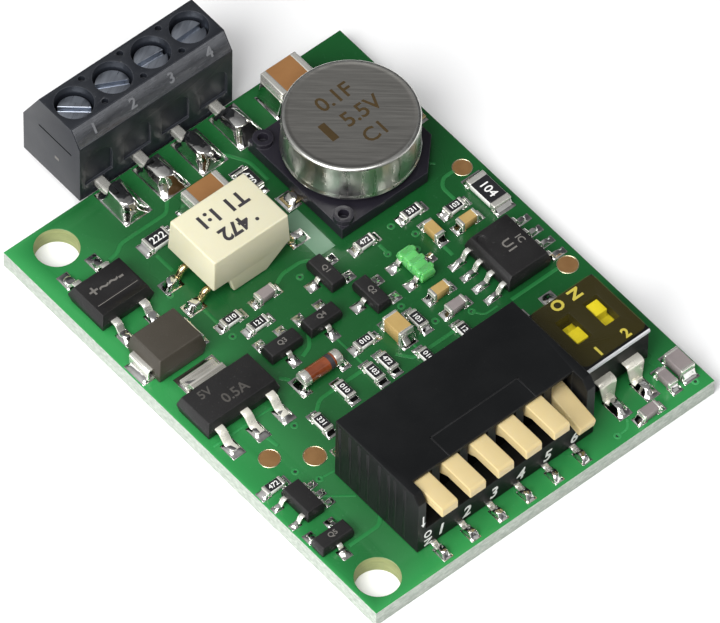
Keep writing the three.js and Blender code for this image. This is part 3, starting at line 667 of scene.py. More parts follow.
def makeTraces():
    # a low rounded strip carried level along each run
    look = boardLook
    strips = []
    for routes, width in ((traceRoutes, look["trace"]), (thinRoutes, look["thin"])):
        section = roundedRing(width / 2, look["lift"] / 2, look["lift"] * 0.45, 2)
        for route in routes:
            corners = np.column_stack([np.array(route), np.full(len(route), look["lift"] / 2)])
            path = roundedPath(corners, look["bend"]) if len(route) > 2 else corners
            strips.append(carried(path, section))
    addPiece("copper_runs", strips, finishes["tracedMask"])
    patch = softBlock(look["patchLow"], look["patchHigh"], look["patchEdge"])
    addPiece("bare_patch", [patch], finishes["tealMask"])


viaLook = {"outer": 0.30, "inner": 0.12, "height": 0.035, "hole": 0.15, "rimHeight": 0.04}
viaPlaces = [(7.65, 24.45), (14.6, 25.4), (6.0, 15.8), (3.5, 12.75), (4.4, 11.2), (22.4, 24.7), (20.65, 23.0),
             (23.3, 23.1), (19.4, 16.4), (21.9, 15.4), (22.5, 22.0), (18.4, 18.9), (22.65, 0.75), (29.9, 0.8),
             (6.6, 30.0), (27.9, 11.9), (6.2, 21.5)]
testPointPlaces = [(2.85, 14.75, 0.80), (5.4, 12.9, 0.85), (29.75, 14.2, 0.80), (29.65, 25.45, 0.75)]


def lowRing(x, y, outer, inner, height, around=24, across=8):
    # a small circle, flattened to the height, turned about an upright axis at a place
    middleRadius, half = (outer + inner) / 2, (outer - inner) / 2
    turn = np.linspace(0, 2 * np.pi, across + 1)[:-1]
    tube = np.stack([middleRadius + half * np.cos(turn), height * 0.5 * (1 + np.sin(turn))], -1)
    angle = np.arange(around) * 2 * np.pi / around
    circle = np.stack([np.cos(angle), np.sin(angle), np.zeros(around)], -1)
    points = tube[None, :, :1] * circle[:, None, :] + tube[None, :, 1:] * np.array([0, 0, 1.0])
    points = np.vstack([points, points[:1]])
    return points.reshape(-1, 3) + np.array([x, y, 0.0]), [gridFaces(around + 1, across)]


def makeViasAndTestPoints():
    # a via is a low ring about a dark disc that paints the shade in its hole; a test point is a sunk disc in
    # a pale rim
    look = viaLook
    rings = [lowRing(x, y, look["outer"], look["inner"], look["height"]) for x, y in viaPlaces]
    addPiece("via_rings", rings, finishes["tracedMask"])
    hole = look["hole"]
    addPiece("via_hole_shade", [turned([(hole, 0.002), (hole, 0.012), (hole * 0.4, 0.013)], (x, y), 16)
                           for x, y in viaPlaces], finishes["paintedHoleShade"])
    discs, rims = [], []
    for x, y, radius in testPointPlaces:
        discs.append(turned([(radius - 0.03, 0.0), (radius - 0.03, 0.016), (radius - 0.1, 0.02),
                             (radius * 0.5, 0.018)], (x, y), 40))
        rims.append(lowRing(x, y, radius + 0.015, radius - 0.055, look["rimHeight"]))
    addPiece("test_point_discs", discs, finishes["bareCopper"])
    addPiece("test_point_rims", rims, finishes["paleGold"])


makeBoard()
makeTraces()
makeViasAndTestPoints()
print("board done")


# leads, pads and solder: every pad and joint joins one of these two lists
pads, joints = [], []
padLook = {"thickness": 0.035, "edge": 0.015}


def addPad(x0, y0, x1, y1):
    # a thin soft block between two corners, given in either order
    low = (min(x0, x1), min(y0, y1), 0.0)
    high = (max(x0, x1), max(y0, y1), padLook["thickness"])
    pads.append(softBlock(low, high, padLook["edge"], 1))


def outwardFrame(at, outward):
    # turns (out, along, up) numbers into board millimetres about a lead's root
    out = np.array([outward[0], outward[1], 0.0])
    along = np.array([-outward[1], outward[0], 0.0])
    root = np.array([at[0], at[1], 0.0])
    return lambda s, a, z: root + out * s + along * a + np.array([0, 0, z])


def rectangleOf(first, second):
    # (x0, y0, x1, y1) from two opposite corners
    low, high = np.minimum(first, second), np.maximum(first, second)
    return low[0], low[1], high[0], high[1]


# out from the body: the shoulder, the heel and the toe of the strip; its width, thickness and exit height
leadLooks = {
    "bridge_rectifier": {"width": 0.65, "thick": 0.2, "exit": 0.82, "shoulder": 0.45, "heel": 0.8,
                         "toe": 1.45, "bend": 0.22, "pad": (0.62, 2.05), "padWidth": 1.0, "solder": 0.3},
    "regulator_body": {"width": 0.7, "thick": 0.2, "exit": 0.95, "shoulder": 0.35, "heel": 1.0, "toe": 1.8,
                       "bend": 0.3, "pad": (0.75, 2.3), "padWidth": 1.15, "solder": 0.22,
                       "finish": "creamTin"},
    "driver_chip": {"width": 0.42, "thick": 0.18, "exit": 0.85, "shoulder": 0.3, "heel": 0.62, "toe": 1.2,
                    "bend": 0.2, "pad": (0.4, 1.75), "padWidth": 0.62, "solder": 0.26},
    "supervisor_chip": {"width": 0.4, "thick": 0.14, "exit": 0.62, "shoulder": 0.22, "heel": 0.45,
                        "toe": 0.85, "bend": 0.14, "pad": (0.3, 1.15), "padWidth": 0.6, "solder": 0.18},
    "transistor": {"width": 0.42, "thick": 0.12, "exit": 0.5, "shoulder": 0.12, "heel": 0.3, "toe": 0.55,
                   "bend": 0.1, "pad": (0.12, 1.08), "padWidth": 0.85, "solder": 0.26},
    "piano_switch": {"width": 0.5, "thick": 0.2, "exit": 0.24, "shoulder": 0.15, "heel": 0.3, "toe": 1.35,
                     "bend": 0.12, "pad": (0.4, 1.75), "padWidth": 0.85, "solder": 0.46,
                     "solderFrom": 0.85, "hollow": None},
}
# each face that has leads: its outward direction, and the leads' places along it from its middle
leadPitch, smallPitch = 1.27, 0.95
fourInARow = (np.arange(4) - 1.5) * leadPitch
leadFaces = {}
for node, out in (("transistor_1", (-1, 0)), ("transistor_2", (-1, 0)), ("transistor_3", (0, -1)),
                  ("transistor_4", (0, -1)), ("transistor_5", (0, -1)), ("status_led", (1, 0))):
    leadFaces[node] = [(out, [0.0]), ((-out[0], -out[1]), [-smallPitch, smallPitch])]
leadFaces.update({
    "driver_chip": [((-1, 0), fourInARow), ((1, 0), fourInARow)],
    "supervisor_chip": [((-1, 0), [-smallPitch, smallPitch]), ((1, 0), [-smallPitch, 0.0, smallPitch])],
    "bridge_rectifier": [((0, -1), [-leadPitch, leadPitch]), ((0, 1), [-leadPitch, leadPitch])],
    "regulator_body": [((0, -1), [-2.3, 0.0, 2.3])],
})


def gullLead(at, outward, lead):
    # a rounded rectangle carried along a path that leaves the body level, bends down, and lies flat on
    # its pad, with solder about its foot
    spot = outwardFrame(at, outward)
    thick = lead["thick"]
    rest = padLook["thickness"] + thick / 2 + 0.02
    corners = [spot(-0.25, 0, lead["exit"]), spot(lead["shoulder"], 0, lead["exit"]),
               spot(lead["heel"], 0, rest), spot(lead["toe"], 0, rest)]
    path = roundedPath(corners, lead["bend"], 5)
    section = roundedRing(lead["width"] / 2, thick / 2, thick * 0.3, 2)
    wide = lead["padWidth"] / 2
    first, second = lead["pad"]
    addPad(*rectangleOf(spot(first, -wide, 0), spot(second, wide, 0)))
    foot = rectangleOf(spot(first + 0.04, 0.04 - wide, 0), spot(second - 0.04, wide - 0.04, 0))
    reach = lead["width"] / 2
    start = lead.get("solderFrom", lead["heel"] - 0.06)
    crown = rectangleOf(spot(start, -reach * 0.9, 0), spot(lead["toe"] - 0.02, reach * 0.9, 0))
    joints.append(solderJoint(foot, crown, lead["solder"], lead.get("hollow", 1.5), 0.12, 8))
    return carried(path, section, np.array([-outward[1], outward[0], 0.0]))


def alongFaces(node, offsets, outward):
    # lead roots on one face of a body: its middle, half its size outward, and an offset along the face
    low, high = span(node)
    mid = (low + high) / 2
    half = (high - low) / 2
    out = np.array(outward, float)
    return [((mid[0] + out[0] * half[0] + abs(out[1]) * o, mid[1] + out[1] * half[1] + abs(out[0]) * o),
             outward) for o in offsets]


def makeBodyLeads():
    # every lead of a node in one piece, by the node's own look or else by the transistors'
    for node, faces in leadFaces.items():
        lead = leadLooks.get(node, leadLooks["transistor"])
        places = [place for out, offsets in faces for place in alongFaces(node, offsets, out)]
        addPiece(node + "_leads", [gullLead(at, out, lead) for at, out in places],
                 finishes[lead.get("finish", "tin")])


diodeLead = {"width": 2.1, "thick": 0.16, "exit": 1.15, "out": 0.34, "under": 0.6, "pad": (-0.35, 0.85),
             "solder": 0.42}


def makeDiodeLeads():
    # a wide strip folded down each end and under the body
    made = []
    look = diodeLead
    half = look["width"] / 2
    low = padLook["thickness"] + look["thick"] / 2 + 0.01
    section = roundedRing(half, look["thick"] / 2, 0.05, 2)
    for out in ((-1, 0), (1, 0)):
        (at, outward), = alongFaces("power_diode", [0.0], out)
        spot = outwardFrame(at, outward)
        corners = [spot(-0.3, 0, look["exit"]), spot(look["out"], 0, look["exit"]), spot(look["out"], 0, low),
                   spot(-look["under"], 0, low)]
        made.append(carried(roundedPath(corners, 0.16, 5), section, np.array([-out[1], out[0], 0.0])))
        first, second = look["pad"]
        addPad(*rectangleOf(spot(first, -half - 0.05, 0), spot(second, half + 0.05, 0)))
        foot = rectangleOf(spot(0.0, -half, 0), spot(second, half, 0))
        crown = rectangleOf(spot(0.15, -half + 0.1, 0), spot(look["out"] + 0.06, half - 0.1, 0))
        joints.append(solderJoint(foot, crown, look["solder"], 1.8, 0.05))
    addPiece("power_diode_leads", made, finishes["tin"])


makeBodyLeads()
makeDiodeLeads()
print("leads done")


# CAD nodes with their edges rounded: how far in millimetres, and the finish
roundings = {
    "bridge_rectifier": (0.07, "epoxy"), "power_diode": (0.10, "greyEpoxy"),
    "regulator_body": (0.06, "epoxy"), "driver_chip": (0.05, "epoxy"),
    "supervisor_chip": (0.05, "epoxy"), "status_led": (0.10, "ledResin"),
    "regulator_tab": (0.04, "bandedTin"), "terminal_housing": (0.06, "terminalPlastic"),
    "piano_switch_housing": (0.08, "switchPlastic"), "piano_switch_base": (0.05, "switchPlastic"),
    "slide_switch_housing": (0.07, "switchPlastic"), "supercap_base": (0.09, "basePlastic"),
    "supercap_cell": (0.10, "ferrite"), "transformer_case": (0.24, "transformerPlastic"),
    "transformer_core": (0.06, "ferrite"), "transformer_winding": (0.10, "copperWire"),
}
# numbered nodes: how many there are, how far, and the finish
numberedRoundings = {
    "transistor": (5, 0.09, "epoxy"), "terminal_pin": (4, 0.14, "tin"), "terminal_screw": (4, 0.06, "zinc"),
    "clamp_cage": (4, 0.08, "tin"), "piano_lever": (6, 0.09, "leverPlastic"),
    "slide_knob": (2, 0.08, "knobPlastic"),
}
for name, (count, edge, finish) in numberedRoundings.items():
    roundings.update({f"{name}_{n + 1}": (edge, finish) for n in range(count)})
unmerged = {"terminal_housing"}  # its flat faces have holes in them
for node, (edge, finish) in roundings.items():
    refined(node, edge, finishes[finish], node not in unmerged)
print("rounded CAD nodes:", len(roundings))


# chip parts: a body between two tinned ends, on pads, with a solder fillet at each end
chipLook = {"cap": 0.27, "bulkCap": 0.5, "bulkLength": 2.5, "proud": 0.018, "edge": 0.07, "glaze": 0.03,
            "lowered": 0.02, "padIn": 0.35, "padOut": 0.5, "fillet": 0.62}
chipFinishes = {
    "bulk_capacitor_1": "brownCeramic", "bulk_capacitor_2": "brownCeramic", "capacitor_0805_1": "tanCeramic",
    "capacitor_0805_2": "mauveCeramic",
}
chipFinishes.update({f"capacitor_0603_{n}": "tanCeramic" if n < 4 else "mauveCeramic" for n in range(1, 8)})
# codes and their height on the larger resistors
resistorCodes = {"sense_resistor": ("104", 0.72), "resistor_0805_1": ("222", 0.6),
                 "resistor_0805_2": ("470", 0.6)}
# the smallest resistors: centre x, centre y, the axis that each lies along, and its code
smallResistors = [
    (8.38, 25.5, 0, "010"), (9.6, 24.0, 0, "121"), (19.9, 24.65, 0, "472"), (24.2, 24.6, 0, "331"),
    (26.8, 23.0, 0, "103"), (14.3, 18.05, 0, "010"), (1.4, 12.6, 0, "472"), (16.85, 14.2, 1, "010"),
    (20.3, 14.2, 1, "121"), (10.55, 15.75, 1, "010"), (13.1, 15.6, 1, "103"), (14.4, 15.7, 1, "472"),
    (7.5, 14.6, 1, "331"), (18.4, 17.15, 1, "103"),
]
smallLook = {"length": 1.6, "width": 0.8, "height": 0.45, "low": 0.05, "code": 0.4}
chipCaps, resistorBodies, resistorGlazes, chipCodes = [], [], [], []


def capLength(low, high, axis):
    # longer caps on a chip that is longer than the bulk length
    return chipLook["bulkCap"] if high[axis] - low[axis] > chipLook["bulkLength"] else chipLook["cap"]


def acrossChip(low, high, axis, first, second, spread):
    # (x0, y0, x1, y1) between two places along a chip's axis, as wide as the chip and a spread more
    corners = np.array([[low[0], low[1]], [high[0], high[1]]])
    corners[:, 1 - axis] += np.array([-spread, spread])
    corners[0, axis], corners[1, axis] = min(first, second), max(first, second)
    return corners.ravel()


def chipEnds(low, high, axis):
    # both end caps, their pads and their fillets
    look = chipLook
    height = high[2] - low[2]
    for end, sign in ((low[axis], -1), (high[axis], 1)):
        inner = end - sign * capLength(low, high, axis)
        capLow, capHigh = low.copy(), high.copy()
        capLow[axis], capHigh[axis] = min(end, inner), max(end, inner)
        chipCaps.append(softBlock(capLow, capHigh, min(look["edge"], 0.3 * look["cap"]), 2))
        addPad(*acrossChip(low, high, axis, end - sign * look["padIn"], end + sign * look["padOut"], 0.06))
        reach = look["padOut"] * (0.95 if sign < 0 else 0.8)
        root = end - sign * 0.12
        joints.append(solderJoint(acrossChip(low, high, axis, root, end + sign * reach, 0.03),
                                  acrossChip(low, high, axis, root, end + sign * 0.04, -0.06),
                                  height * look["fillet"], 1.8, 0.12))


def chipMiddle(low, high, axis, lowered=0.0):
    # the body, a little inside its caps
    look = chipLook
    inLow = low + np.array([look["proud"], look["proud"], 0])
    inHigh = high - np.array([look["proud"], look["proud"], look["proud"] + lowered])
    inLow[axis], inHigh[axis] = low[axis] + 0.5 * look["cap"], high[axis] - 0.5 * look["cap"]
    return softBlock(inLow, inHigh, 0.03, 1)


def glazeAndCode(low, high, axis, code, size):
    # a black plate between the caps, with its code across it
    top = high[2]
    glazeLow, glazeHigh = low + 0.05, high - 0.05
    covered = capLength(low, high, axis) * 0.95
    glazeLow[axis], glazeHigh[axis] = low[axis] + covered, high[axis] - covered
    glazeLow[2], glazeHigh[2] = top - chipLook["glaze"] * 1.5, top - 0.002
    resistorGlazes.append(softBlock(glazeLow, glazeHigh, 0.02, 1))
    centre = [(low[0] + high[0]) / 2, (low[1] + high[1]) / 2, top]
    along, up = ((1, 0, 0), (0, 1, 0)) if axis == 0 else ((0, -1, 0), (1, 0, 0))
    chipCodes.append(lettering(code, centre, size, along, up, 0.006, 0.0, 0.012))


def makeChips():
    # bodies in place of the CAD chips, each along its longer side, then the smallest resistors
    lowered = chipLook["lowered"]
    for node in [*chipFinishes, *resistorCodes]:
        low, high = span(node)
        axis = 0 if high[0] - low[0] > high[1] - low[1] else 1
        coded = node in resistorCodes
        finish = finishes["alumina" if coded else chipFinishes[node]]
        middlePart = chipMiddle(low, high, axis, lowered if coded else 0.0)
        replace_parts(addPiece(node + "_body", [middlePart], finish), node)
        chipEnds(low, high, axis)
        if coded:
            glazeAndCode(low, high, axis, *resistorCodes[node])
    look = smallLook
    for x, y, axis, code in smallResistors:
        half = np.array([look["length"], look["width"]][::-1 if axis else 1]) / 2
        low = np.array([x - half[0], y - half[1], look["low"]])
        high = np.array([x + half[0], y + half[1], look["low"] + look["height"]])
        resistorBodies.append(chipMiddle(low, high, axis, lowered))
        chipEnds(low, high, axis)
        glazeAndCode(low, high, axis, code, look["code"])
    addPiece("chip_end_caps", chipCaps, finishes["tin"])
    addPiece("small_resistor_bodies", resistorBodies, finishes["alumina"])
    addPiece("resistor_glazes", resistorGlazes, finishes["overglaze"])
    addPiece("resistor_codes", chipCodes, finishes["whiteInk"])


makeChips()
print("chips done")


# the piano switch: a raised outline on its top, flutes down its left side, and an arrow
pianoLook = {"pins": 6, "pitch": 2.54, "firstX": 6.85, "front": 2.05, "back": 10.85, "digitZ": 1.02,
             "outlineX": (9.5, 17.5), "outlineY": 5.65, "frontSetback": 1.5, "line": 0.12, "proud": 0.02,
             "flutes": 8, "fluteWide": 0.3, "arrow": (5.95, 3.25)}


def makePianoDetails():
    # strips on top, then thin flutes at even steps, each moved a little by chance
    look = pianoLook
    low, high = span("piano_switch_housing")
    x0, x1 = look["outlineX"]
    y0, y1, wide, proud = low[1] + look["frontSetback"], look["outlineY"], look["line"], look["proud"]
    strips = [((x0, y0), (x0 + wide, y1)), ((x1 - wide, y0), (x1, y1)), ((x0, y1 - wide), (x1, y1))]
    lines = [softBlock((a[0], a[1], high[2] - 0.02), (b[0], b[1], high[2] + proud), proud * 0.8, 1)
             for a, b in strips]
    even = np.linspace(low[1] + 1.2, high[1] - 0.8, look["flutes"])
    for y in even + chance.uniform(-0.2, 0.2, look["flutes"]):
        outer = (low[0] + 0.03, y + look["fluteWide"], high[2] - 0.35)
        lines.append(softBlock((low[0] - proud, y, 0.5), outer, proud * 0.9, 1))
    addPiece("piano_switch_ribs", lines, finishes["switchPlastic"])


def makeArrow():
    # a shaft and a head that point down, on the piano switch's front face
    outline = np.array([(-0.06, 0.65), (0.06, 0.65), (0.06, -0.2), (0.2, -0.2), (0, -0.6), (-0.2, -0.2),
                        (-0.06, -0.2)])
    x, z = pianoLook["arrow"]
    rings = [np.stack([outline[:, 0] + x, np.full(len(outline), y), outline[:, 1] + z], -1)
             for y in (pianoLook["front"] + 0.002, pianoLook["front"] - 0.01)]
    addPiece("piano_switch_arrow", [closedTube(np.array(rings))], finishes["whiteInk"])


ledLook = {"shares": (0.17, 0.5, 0.83), "half": 0.26, "low": 0.3, "side": 0.1, "proud": 0.09, "edge": 0.2}


def makeLedLumps():
    # three soft resin lumps across the body
    look = ledLook
    low, high = span("status_led")
    lumps = []
    for share in look["shares"]:
        y = low[1] + share * (high[1] - low[1])
        lumps.append(softBlock((low[0] - look["side"], y - look["half"], look["low"]),
                               (high[0] + look["side"], y + look["half"], high[2] + look["proud"]),
                               look["edge"], 4))
    addPiece("status_led_lumps", lumps, finishes["ledResin"])


# the slide switch: pin places, then along y where each lead leaves, folds, meets its pad and ends; the
# lip reaches out, in and down, and stops short of the top
slideLook = {"pins": (24.2, 26.75), "thick": 0.16, "shoulderZ": 1.9, "half": 0.75, "backHalf": 0.3,
             "frontLead": (4.5, 3.62, 3.5, 2.3), "backLead": (10.2, 11.1, 11.22, 12.6), "padHalf": 0.6,
             "frontPad": (1.55, 3.6), "backPad": (11.4, 13.3), "crownHalf": 0.24,
             "lip": (0.12, 0.16, 0.42, 0.05)}


def makeSwitchLip():
    # a clear lip along the slide switch's front top edge, given an opaque pale grey that paints its
    # highlights
    low, high = span("slide_switch_housing")
    out, inward, down, under = slideLook["lip"]
    lip = softBlock((low[0], low[1] - out, high[2] - down),
                    (high[0], low[1] + inward, high[2] - under), 0.06, 2)
    addPiece("slide_switch_lip", [lip], finishes["clearPlasticPaintedHighlight"])


# the terminal block: pole places, pads and solder, the seam between its halves, and its rubbed chamfer, paler
# from scuffs and from a painted sheen
terminalLook = {"poles": 4, "pitch": 3.5, "firstX": 8.9, "padShift": 0.35, "padHalf": 1.2, "padFront": 36.55,
                "padBack": 40.2, "crown": (-0.75, 37.45, 0.12, 39.3), "height": 1.35, "wobble": 0.11,
                "seamLow": (41.5, 4.02), "seamHigh": (45.1, 4.14), "scuffLow": (42.9, 2.0),
                "scuffHigh": (43.35, 2.28), "chamfer": (41.075, 6.2), "chamferHalf": 0.82,
                "chamferProud": 0.014}
chamferRise = np.array([0, 0.95, 1.5]) / np.hypot(0.95, 1.5)


def makeTerminalFaces():
    # two small blocks on the left end, and a thin slab carried level along the chamfer, as it leans, its
    # paler colour both scuffs and painted sheen
    look = terminalLook
    low, high = span("terminal_housing")
    seam = softBlock((low[0] - 0.012, *look["seamLow"]), (low[0] + 0.03, *look["seamHigh"]), 0.008, 1)
    scuff = softBlock((low[0] - 0.015, *look["scuffLow"]), (low[0] + 0.03, *look["scuffHigh"]), 0.012, 2)
    ends = np.array([[low[0] + 0.1, *look["chamfer"]], [high[0] - 0.1, *look["chamfer"]]])
    proud = look["chamferProud"]
    face = carried(ends, roundedRing(look["chamferHalf"], proud, proud * 0.8, 1), chamferRise)
    for name, shape, finish in (("seam", seam, "seamShade"), ("chamfer_scuff_and_sheen", face, "scuffedSheenFace"),
                                ("scuff", scuff, "greyInk")):
        addPiece("terminal_" + name, [shape], finishes[finish])


def makeTerminalSolder():
    # a wide pad and a high mound round each pin
    look = terminalLook
    for n in range(look["poles"]):
        x = middle(f"terminal_pin_{n + 1}")[0] + look["padShift"]
        half, front, back = look["padHalf"], look["padFront"], look["padBack"]
        addPad(x - half, front, x + half, back)
        foot = (x - half + 0.06, front + 0.06, x + half - 0.06, back - 0.15)
        crown = np.array(look["crown"]) + np.array([x, 0, x, 0])
        joints.append(solderJoint(foot, crown, look["height"], None, look["wobble"], 20, 0.45, 9, 0.8))


def makePianoLeads():
    # pins at even steps, along the front and then along the back
    look = pianoLook
    xs = [look["firstX"] + n * look["pitch"] for n in range(look["pins"])]
    made = [gullLead((x, look[side]), (0, out), leadLooks["piano_switch"])
            for side, out in (("front", -1), ("back", 1)) for x in xs]
    addPiece("piano_switch_leads", made, finishes["tin"])


def makeSlideLeads():
    # strips that leave level, fold down and lie flat; the front ones narrow from shoulder to toe
    look = slideLook
    low = padLook["thickness"] + look["thick"] / 2 + 0.02
    heights = np.array([look["shoulderZ"], look["shoulderZ"], low, low])
    wide = look["crownHalf"]
    front = roundedRing(look["half"], look["thick"] / 2, 0.05, 2)
    back = roundedRing(look["backHalf"], look["thick"] / 2, 0.05, 2)
    made = []

    def folded(x, ys):
        # a path through four corners at one x
        return roundedPath(np.column_stack([np.full(4, x), ys, heights]), 0.3, 6)

    for x in look["pins"]:
        path = folded(x, look["frontLead"])
        spread = np.interp(path[:, 1] * 0.5 + path[:, 2] * 0.5, [1.2, 1.9, 2.4], [0.36, 0.7, 1.0])
        made.append(carried(path, front, (1, 0, 0), spread))
        addPad(x - look["padHalf"], look["frontPad"][0], x + look["padHalf"], look["frontPad"][1])
        joints.append(solderJoint((x - 0.55, 1.62, x + 0.55, 3.5), (x - wide, 2.15, x + wide, 3.2), 0.42, 1.3,
                                  0.08, 9, 0.4))
        made.append(carried(folded(x, look["backLead"]), back, (1, 0, 0)))
        addPad(x - look["padHalf"], look["backPad"][0], x + look["padHalf"], look["backPad"][1])
        joints.append(solderJoint((x - 0.5, 11.6, x + 0.5, 13.2), (x - wide, 11.9, x + wide, 12.6), 0.4, 1.4,
                                  0.08, 9, 0.4))
    addPiece("slide_switch_leads", made, finishes["creamTin"])


# the transformer's wires: the side they leave by, their toes' and roots' x, and their places along y
transformerLook = {"radius": 0.27, "exit": 1.1,
                   "sides": ((-1, 6.85, 8.75, (30.65, 28.15)), (1, 16.95, 15.1, (30.65, 28.1)))}
supercapLook = {"x": 24.13, "y": 31.15, "radius": 5.05, "low": 1.7, "high": 5.05, "sides": 128,
                "neck": 0.07, "shoulder": 0.22, "tabs": ((19.3, 17.85), (29.0, 30.6)), "tabY": (30.45, 31.55)}


def makeTransformerLeads():
    # round wires that leave the case low down and bend out to their toes
    look = transformerLook
    section = circleRing(look["radius"], 14)
    low = padLook["thickness"] + look["radius"]
    wires = []
    for side, toe, root, rows in look["sides"]:
        for y in rows:
            corners = [(root, y, look["exit"]), (root + side * 0.55, y, look["exit"] - 0.05),
                       (toe - side * 0.95, y, low), (toe, y, low)]
            wires.append(carried(roundedPath(corners, 0.35, 6), section))
            addPad(toe - side * 1.15, y - 0.6, toe + side * 0.45, y + 0.6)
            ends = sorted((toe - side * 1.05, toe + side * 0.38))
            crown = sorted((toe - side * 0.8, toe - side * 0.05))
            joints.append(solderJoint((ends[0], y - 0.5, ends[1], y + 0.5),
                                      (crown[0], y - 0.26, crown[1], y + 0.26), 0.6, None, 0.1, 10, 0.4, 5))
    addPiece("transformer_leads", wires, finishes["goldWire"])


def makeSupercapTabs():
    # flat tabs from under the supercapacitor's base
    look = supercapLook
    y0, y1 = look["tabY"]
    tabs = []
    for first, second in look["tabs"]:
        tabs.append(softBlock((min(first, second), y0, 0.04), (max(first, second), y1, 0.2), 0.05, 2))
        ends = sorted((second, first + (second - first) * 0.25))
        addPad(ends[0] - 0.2, y0 - 0.25, ends[1], y1 + 0.25)
        joints.append(solderJoint((ends[0] - 0.15, y0 - 0.15, ends[1], y1 + 0.15),
                                  (ends[0] + 0.25, y0 + 0.15, ends[1], y1 - 0.15), 0.3, 1.6, 0.1, 7, 0.3))
    addPiece("supercap_tabs", tabs, finishes["goldWire"])


def makeCan():
    # a drawn can turned about its axis: a rolled foot, a straight side, a soft shoulder and a flat top
    look = supercapLook
    radius, low, high = look["radius"], look["low"], look["high"]
    neck, soft = look["neck"], look["shoulder"]
    turn = np.linspace(0, np.pi / 2, 6)
    foot = [(radius - 0.5, low), (radius - 0.1, low), (radius - 0.02, low + 0.06), (radius, low + 0.16),
            (radius - 0.02, low + 0.28), (radius - neck, low + 0.36), (radius - neck, low + 0.5)]
    shoulder = [(radius - neck - soft * (1 - np.cos(a)), high - soft * (1 - np.sin(a))) for a in turn]
    top = [(radius - 0.36, high), (radius - 0.44, high - 0.015), (radius - 0.52, high - 0.035),
           (radius - 0.65, high - 0.04), (radius * 0.5, high - 0.04), (0.4, high - 0.04)]
    shape = turned(foot + shoulder + top, (look["x"], look["y"]), look["sides"])
    can = addPiece("supercap_can_body", [shape], [finishes["drawnCan"], finishes["brushedShadedCan"]],
                   smoothAngle=40)
    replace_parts(can, "supercap_can")
    # the flat top takes the brushed finish, whose darker colour is painted shade for its dim reflection
    centres = np.zeros(len(can.data.polygons) * 3)
    can.data.polygons.foreach_get("center", centres)
    centres = (centres.reshape(-1, 3) - boardCorner) / mm
    out = np.hypot(centres[:, 0] - look["x"], centres[:, 1] - look["y"])
    onTop = (centres[:, 2] > high - 0.06) & (out < radius - 0.4)
    can.data.polygons.foreach_set("material_index", onTop.astype(np.int32))


diodeLook = {"x": 10.2, "y": 18.05, "z": 0.74, "half": 1.75, "cap": 0.6, "radius": 0.6, "sides": 40,
             "band": (0.62, 0.98)}


def makeGlassDiode():
    # turned upright about its own middle, then laid along x: a glass barrel between two metal ends
    look = diodeLook

    def laid(profile):
        # height becomes x, and the turned circle lies in y and z
        points, blocks = turned(profile, (0, 0), look["sides"])
        return points[:, ::-1] + np.array([look["x"], look["y"], look["z"]]), blocks

    half, radius, y = look["half"], look["radius"], look["y"]
    inner = half - look["cap"]
    barrel = laid([(radius * 0.5, -inner - 0.1), (radius * 0.97, -inner - 0.1), (radius * 0.97, 0),
                   (radius * 0.97, inner + 0.1), (radius * 0.5, inner + 0.1)])
    piece = addPiece("glass_diode_barrel", [barrel], finishes["orangeGlass"])
    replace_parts(piece, "glass_diode")
    caps = []
    for sign in (-1, 1):
        profile = [(radius * 0.6, inner), (radius * 0.98, inner), (radius, inner + 0.06),
                   (radius, half - 0.14), (radius * 0.96, half - 0.04), (radius * 0.85, half),
                   (radius * 0.4, half)]
        caps.append(laid([(r, sign * z) for r, z in profile]))
        end = look["x"] + sign * half
        ends = sorted((end - sign * 0.4, end + sign * 0.45))
        addPad(ends[0] - 0.02, y - 0.9, ends[1] + 0.02, y + 0.9)
        crown = sorted((end - sign * 0.3, end + sign * 0.02))
        joints.append(solderJoint((ends[0], y - 0.8, ends[1], y + 0.8),
                                  (crown[0], y - 0.5, crown[1], y + 0.5), 0.6, 1.7, 0.1, 8, 0.3))
    addPiece("glass_diode_caps", caps, finishes["tin"])
    first, last = look["band"]
    inside, outside = radius * 0.5, radius * 0.985
    band = laid([(inside, first), (outside, first), (outside, last), (inside, last)])
    addPiece("glass_diode_band", [band], finishes["blackInk"])


def makeFilm():
    # one rounded rectangle at each of four heights, the first and last a little inside
    low, high = span("slide_switch_film")
    profile = [(0.03, low[2]), (0.0, low[2] + 0.01), (0.0, high[2] - 0.01), (0.03, high[2])]
    shape = ringedBody((low + high) / 2, (high - low)[:2] / 2, 0.55, profile, 6)
    film = addPiece("slide_switch_film_sheet", [shape], finishes["amberFilm"])
    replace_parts(film, "slide_switch_film")


tabPadLook = {"pad": (2.0, 22.3, 5.55, 24.2), "foot": (2.1, 22.9, 5.45, 24.12),
              "crown": (2.4, 23.0, 5.1, 23.7), "height": 0.3}


def makeTabPad():
    # the regulator's tab lies on a pad that reaches past both its sides
    look = tabPadLook
    addPad(*look["pad"])
    joints.append(solderJoint(look["foot"], look["crown"], look["height"], 2.2, 0.06, 8, 0.3))


makePianoDetails()
makeLedLumps()
makeSwitchLip()
makeTerminalFaces()
makeArrow()
makeTerminalSolder()
makePianoLeads()
makeSlideLeads()
makeTransformerLeads()
makeSupercapTabs()
makeCan()
makeGlassDiode()
makeFilm()
makeTabPad()
addPiece("solder_pads", pads, finishes["solder"])
addPiece("solder_joints", joints, finishes["solder"])
print("solder joints:", len(joints), "pads:", len(pads))


# printed and moulded marks: text, centre, height, the directions along and up the letters, and slant
east, north, top = (1, 0, 0), (0, 1, 0), (0, 0, 1)
south, down, west = (0, -1, 0), (0, 0, -1), (-1, 0, 0)
markFaces = {"wall": pianoLook["front"], "film": 4.04, "can": 5.01, "case": 4.6, "regulator": 1.7,
             "chip": 1.6, "rectifier": 1.65, "transistor": 1.05}
leverDigits = [7.65, 10.0, 12.45, 14.9, 17.35, 19.8]


